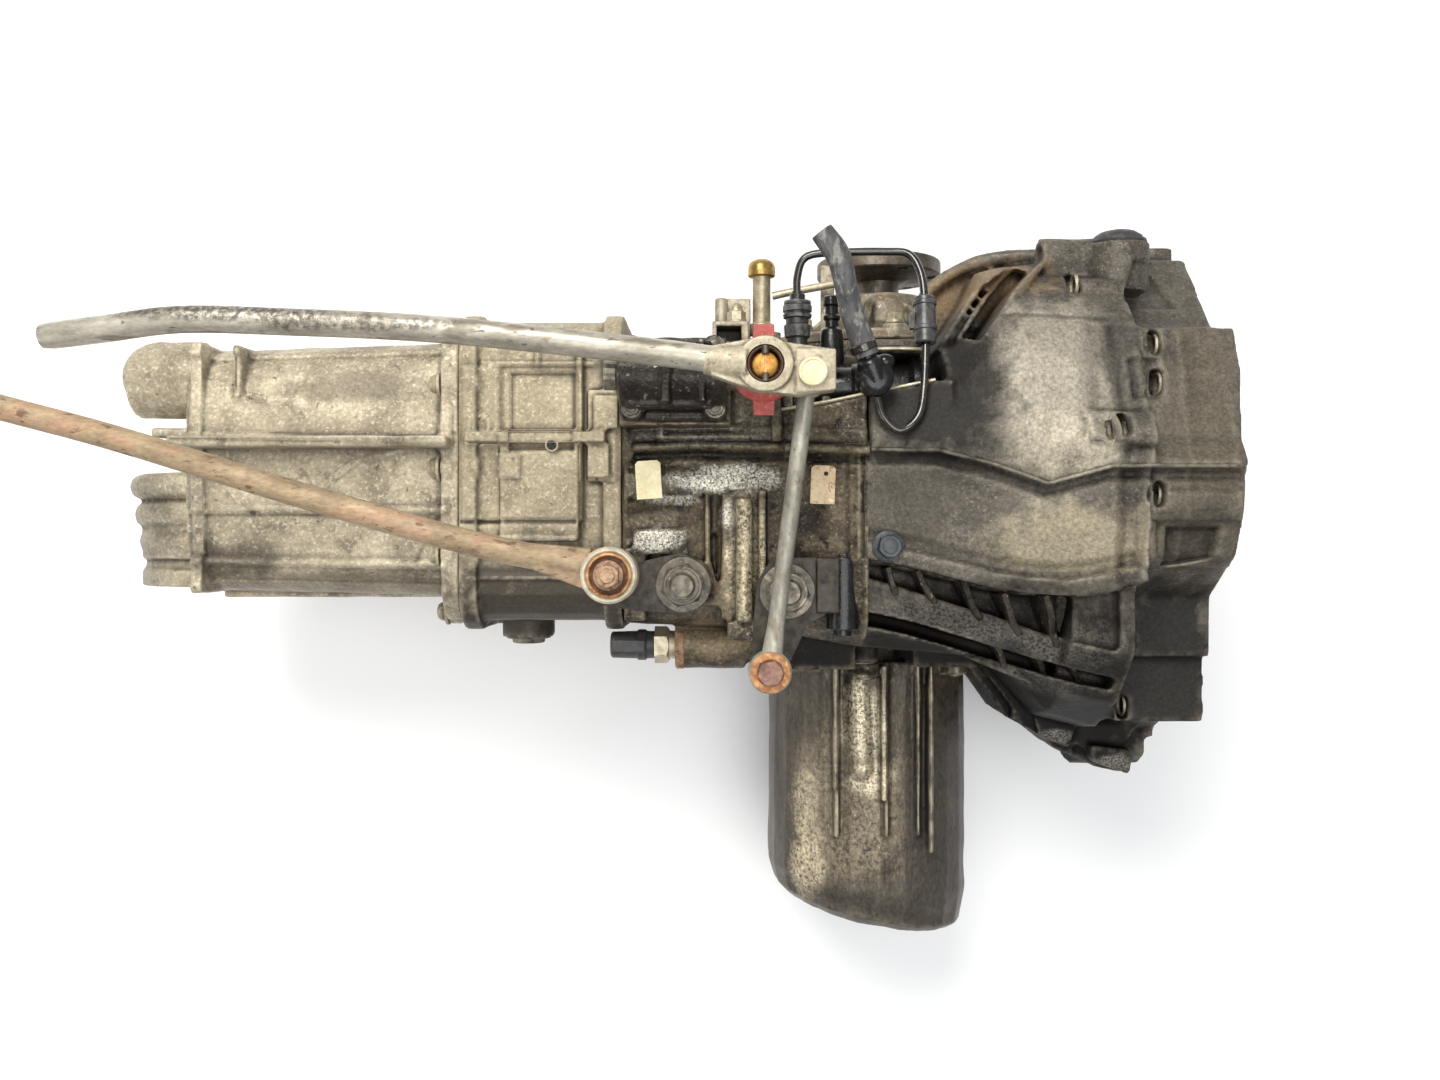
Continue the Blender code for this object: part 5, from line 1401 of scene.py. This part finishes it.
def hydraulics():
    pipe = (
        (-268, 118, 126), (-268, 134, 127), (-262, 146, 129), (-240, 148, 131), (-214, 148, 133),
        (-199, 146, 135), (-192, 134, 138), (-190, 116, 141), (-190, 90, 145), (-192, 58, 150),
        (-196, 42, 152), (-207, 34, 153), (-217, 42, 153), (-221, 54, 152),
    )
    piece("hydraulic_pipe_detail", swept(pipe, 2.5, 20), PIPE_STEEL)
    clip_at, clip_axis = (-190, 103, 143), (0, -1, 0.15)
    shells = merged(
        tube(-15, 15, 6.6, 2.7, clip_axis, clip_at, 36, 0.8),
        tube(-12, -9, 7.4, 5, clip_axis, clip_at, 36), tube(4, 7, 7.4, 5, clip_axis, clip_at, 36),
        block((-199, -192), (98, 108), (136, 144)),
    )
    piece("pipe_clip_detail", shells, BLACK_PLASTIC, bevel=0.3)
    at = (-268, 109.5, 126)
    profile = [
        (-22, 5), (-21, 6), (-15, 6.4), (-14, 8), (-7, 8.6), (-6, 7.2), (-2.6, 7.2), (-2, 8.8), (0, 9.2),
        (0.6, 8.2), (1.6, 8.2), (2, 9.2), (5.4, 9.2), (6, 8.4), (7.2, 8.6), (8.6, 8.4), (9, 6),
    ]
    piece("pipe_connector_detail", turned(profile, "Y", at, 40), BLACK_PLASTIC)
    union = merged(cylinder(8.8, 13, 5, "Y", at, 32), cylinder(12, 15, 3.6, "Y", at, 32))
    piece("pipe_union_nut", union, PIPE_STEEL, bevel=0.4)
    bleed = (-246, 0, 124)
    profile = [
        (78, 7.6), (84, 7.8), (96, 7.4), (100, 6.6), (102, 4.4), (106, 4.2), (107, 5.4), (109, 5.4),
        (110, 4.2), (115, 4.2), (116, 5.6), (121, 5.4), (122, 4),
    ]
    piece("bleed_valve_detail", turned(profile, "Y", bleed, 40), OILY_PLASTIC)
    profile = [
        (-256, 9), (-255, 11.6), (-253, 12.6), (-233, 13), (-231, 15.2), (-224, 15.6), (-223, 14.4),
        (-220, 14.4), (-219, 15.6), (-197, 15.6), (-194, 20.6), (-188, 21), (-187, 18), (-186.4, 12),
    ]
    body = merged(
        turned(profile, "X", SLAVE, 56), turned([(108, 7), (133.6, 7), (134, 6)], "Z", (-222, 66, 0), 40),
    )
    piece("slave_cylinder_detail", body, OILY_PLASTIC)
    along = Vector((-0.42, 1, 0.14)).normalized()
    banjo = (-222, 66, 0)
    shells = merged(
        turned(
            [
                (134.3, 8.6), (135, 9.4), (144, 9.6), (146, 8.4), (148, 10.4), (152, 11.4), (156, 10.8),
                (158, 8.8), (159, 6),
            ],
            "Z", banjo, 48,
        ),
        turned([(-2, 7), (6, 8), (9, 8.4), (12, 7), (13, 5.4), (14, 5.4)], along, (-222, 66, 153), 40),
        ball((-216, 76, 152), (6, 5, 5)), ball((-228, 80, 152), (5, 4, 4)),
    )
    piece("hose_fitting_detail", shells, OILY_PLASTIC)
    route = (
        (-227.2, 79.5, 154.8), (-232, 92, 157), (-238, 108, 160), (-242, 124, 163), (-246, 138, 165),
        (-256, 152, 166),
    )
    hose = swept(route, lambda t: 7.2 + 0.35 * math.sin(t * 9) - 0.5 * max(0, t - 0.85) * 4, 36, steps=8)
    bore = turned([(-3, 4.2), (14, 4.2)], Vector((-10, 14, 1)).normalized(), (-249, 142.2, 165.3), 32)
    hose = cut(hose, bore)
    piece("clutch_hose_detail", hose, HOSE_RUBBER)
    clamp = tube(17.5, 22.5, 8.4, 7.3, along, (-222, 66, 153), 40)
    piece("hose_clamp", clamp, PIPE_STEEL)
    rim = swept(
        [
            (-279, 50.4, 117.2), (-250, 54.4, 127.6), (-224, 59.2, 134.6), (-198, 63.6, 141.6),
            (-184, 66, 145.4),
        ],
        1.1, 12,
    )
    top_rim = swept([(-223, 87, 131.4), (-205, 87.4, 131.8), (-189, 87, 131.4)], 1.1, 12)
    piece("recess_rim", merged(rim, top_rim), ZINC)


# Shift linkage


def linkage():
    route = (
        (-706, 84, 196), (-670, 88, 198), (-626, 93, 200), (-570, 92, 199), (-478, 88, 196),
        (-360, 76, 194), (-312, 70, 193),
    )
    rod = swept(route, lambda t: 7.8 if t > 0.03 else 7.0 + t * 26, 32)
    piece("shift_rod_bar", rod, GALVANISED, body="upper_shift_rod", stands_for="shift_rod")
    eye = (*BALL_JOINT, 0)
    low, high = 185, 201
    neck = swept([(-326, 71, 193), (-314, 70, 193), (-302, 69, 193)], lambda t: 8.2 + 3.2 * t, 28)
    shells = merged(
        neck,
        cylinder(low, high, 16, "Z", eye, 64),
        plate(
            [(-322, 61.5), (-322, 78.5), (-297, 83), (-250.5, 76.5), (-250.5, 53), (-272, 50), (-297, 53)],
            low + 1, high - 2.4,
        ),
        plate([(-273, 51.5), (-273, 76.5), (-250.5, 76.5), (-250.5, 53)], low, high - 0.6),
    )
    bores = (
        cylinder(low - 9, high + 9, 11, "Z", eye, 48),
        cylinder(low - 20, high + 20, 4.6, "Z", (*LINK_STUD, 0), 32),
    )
    shape = cut(fused_shape(shells, 0.8), *bores)
    piece(
        "shift_rod_eye", shape, EYE_CAST, body="upper_shift_rod", stands_for="shift_rod", sharp=50,
    )
    piece(
        "eye_bush_ring", tube(low + 0.6, high - 1.2, 10.9, 8.9, "Z", eye, 56, 0.8), GREASE,
        body="upper_shift_rod",
    )
    at = (*BALL_JOINT, 193)
    amber = merged(ball(at, (7.6, 7.6, 8), 40), cylinder(-9, 2, 5.4, "Z", at, 32))
    amber = cut(amber, block((-291.8, -290.2), (60, 76), (199.2, 204)))
    piece("joint_ball_amber", amber, AMBER, body="selector", stands_for="joint_ball")
    pins = merged(*(cylinder(low, low + 5, 2.1, "Y", (*BALL_JOINT, 199.6), 24) for low in (-10.4, 5.4)))
    piece(
        "joint_cross_pin", pins, INNER_STEEL, body="selector", stands_for="joint_ball", bevel=0.4,
    )
    cap = merged(
        turned(
            [
                (171.6, 19.2), (172.4, 19.5), (175.5, 19.5), (176.4, 18.6), (178, 17.4), (180.6, 13),
                (180.6, 12.2),
            ],
            "Z", eye, 64,
        ),
        plate([(-297, 41), (-285, 41), (-284, 56), (-298, 56)], 171.6, 174.6),
        plate([(-297, 95), (-285, 95), (-284, 80), (-298, 80)], 171.6, 174.6),
    )
    cap = cut(cap, cylinder(150, 190, 6.4, "Z", eye, 32))
    piece("joint_dust_cap_detail", cap, RED_PLASTIC, body="selector", bevel=0.5)
    near, far = Vector((*LINK_PIVOT, LINK_Z)), Vector((*LINK_STUD, LINK_Z))
    direction = (far - near).normalized()
    start, end = near + direction * 8, far - direction * 9.6
    bar = swept(
        [start, start.lerp(end, 0.3), start.lerp(end, 0.7), end], lambda t: 5.2 + 1.4 * max(0, 1 - t * 7),
        28,
    )
    lower = tube(LINK_Z - 6, LINK_Z + 6, 13, 5.4, "Z", (*LINK_PIVOT, 0), 56, 1.2)
    upper = tube(LINK_Z - 5.5, LINK_Z + 5.5, 11, 8.9, "Z", (*LINK_STUD, 0), 48)
    piece("link_rod_detail", merged(bar, lower, upper), GREY_ROD, body="link")
    stud = turned(
        [
            (160, 3.5), (165, 6.2), (170, 4), (201.4, 4), (201.2, 7.4), (202.2, 8.2), (204.0, 8.2),
            (204.6, 7.6), (204.6, 6.8), (203.9, 6.4), (203.9, 0.6),
        ],
        "Z", (*LINK_STUD, 0), 48,
    )
    piece("link_ball_stud_detail", stud, CREAM, body="link_stud")
    pivot = (*LINK_PIVOT, 0)
    piece(
        "link_pivot_washer", tube(171.4, 173.6, 12.2, 7.6, "Z", pivot, 48, 0.6), RUST,
        stands_for="link_pivot_bolt",
    )
    piece(
        "link_pivot_head",
        merged(hexed(7, 14, "Z", pivot, 172.6, 0.2), cylinder(130, 173, 5, "Z", pivot, 32)), BROWN_BOLT,
        stands_for="link_pivot_bolt", bevel=0.5,
    )
    route = (
        (-395, -50, 165), (-413, -46, 165), (-470, -34, 165), (-569, -6, 165), (-680, 28, 165),
        (-747, 46, 165), (-790, 58, 165),
    )
    rod = swept(route, lambda t: 7.8 + 2.4 * max(0, 1 - t * 12), 32)
    flat = plate([(-394, -64), (-394, -38), (-428, -35), (-428, -51)], 158.5, 171.5)
    bush = (*SUPPORT_EYE, 0)
    bar = cut(fused_shape(merged(rod, flat), 1.0), cylinder(120, 200, 16.2, "Z", bush, 48))
    ring = tube(154, 176, 17, 13.4, "Z", bush, 64, 1.2)
    piece(
        "support_rod_bar", bar, RUSTY_ROD, body="lower_support_rod", stands_for="support_rod",
        sharp=50,
    )
    piece("support_rod_ring", ring, EYE_CAST, body="lower_support_rod", stands_for="support_rod")
    rubber = turned(
        [
            (153, 12), (153.6, 13.3), (176.2, 13.3), (176.8, 12.2), (174.4, 10.8), (174.4, 8), (177, 7.2),
            (177, 5.4), (153, 5.4),
        ],
        "Z", bush, 56, ring=True,
    )
    piece(
        "support_bush_rubber", rubber, RUST, body="lower_support_rod",
        stands_for="support_rod_bush",
    )
    shells = merged(
        turned([(177.4, 9), (179, 9), (179.4, 8)], "Z", bush, 40), hexed(7, 13, "Z", bush, 179, 0.5),
        cylinder(130, 178, 5, "Z", bush, 32),
        turned([(186, 4.6), (187, 4.2), (187.2, 2)], "Z", bush, 32),
    )
    piece("support_bolt_head", shells, RUSTY_RING, stands_for="support_rod_bolt", bevel=0.5)


# Drive flanges and the CAD nodes that stay in view


def drive_flanges():
    x, _, z = AXLE
    for side, word in ((1, "left"), (-1, "right")):
        low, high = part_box(f"drive_flange_{word}")
        tip = abs((high if side > 0 else low).y - ORIGIN.y) / MM
        axis, at = (0, side, 0), (x, 0, z)
        radius = (high.x - low.x) / 2 / MM
        profile = [
            (tip - 60, 16), (tip - 16, 16), (tip - 14, 24), (tip - 12, radius - 1), (tip - 11, radius),
            (tip - 1, radius), (tip, radius - 1), (tip, radius - 14), (tip - 4, radius - 15), (tip - 4, 12),
            (tip - 7, 10),
        ]
        disc = turned(profile, axis, at, 72)
        for k in range(6):
            a = math.pi / 3 * k + 0.2
            hole = (x + (radius - 7) * math.cos(a), 0, z + (radius - 7) * math.sin(a))
            disc = cut(disc, cylinder(tip - 20, tip + 4, 4.2, axis, hole, 24))
        piece(f"drive_flange_{word}_detail", disc, INNER_STEEL, body=f"{word}_flange", bevel=0.4)


FINISH_OF_NODE = {
    "guide_sleeve": BRIGHT_STEEL, "release_bearing": BRIGHT_STEEL, "release_lever": INNER_STEEL,
    "slave_pushrod": ZINC,
    "selector_shaft": DARK_STEEL, "differential_case": INNER_STEEL, "reverse_idler_shaft": BRIGHT_STEEL,
}


def carried_nodes():
    """The CAD nodes that no piece replaces keep their shape and get a metal finish."""
    for name, obj in NODES.items():
        if obj.hide_render:
            continue
        bright = "bearing" in name or "fork" in name
        material = FINISH_OF_NODE.get(name, BRIGHT_STEEL if bright else GEAR_STEEL)
        obj.data.materials.clear()
        obj.data.materials.append(material)


add_camera()
add_studio()
bell_casting()
case_casting()
bearing_casting()
cover_casting()
small_castings()
fasteners()
small_fittings()
hydraulics()
linkage()
drive_flanges()
carried_nodes()
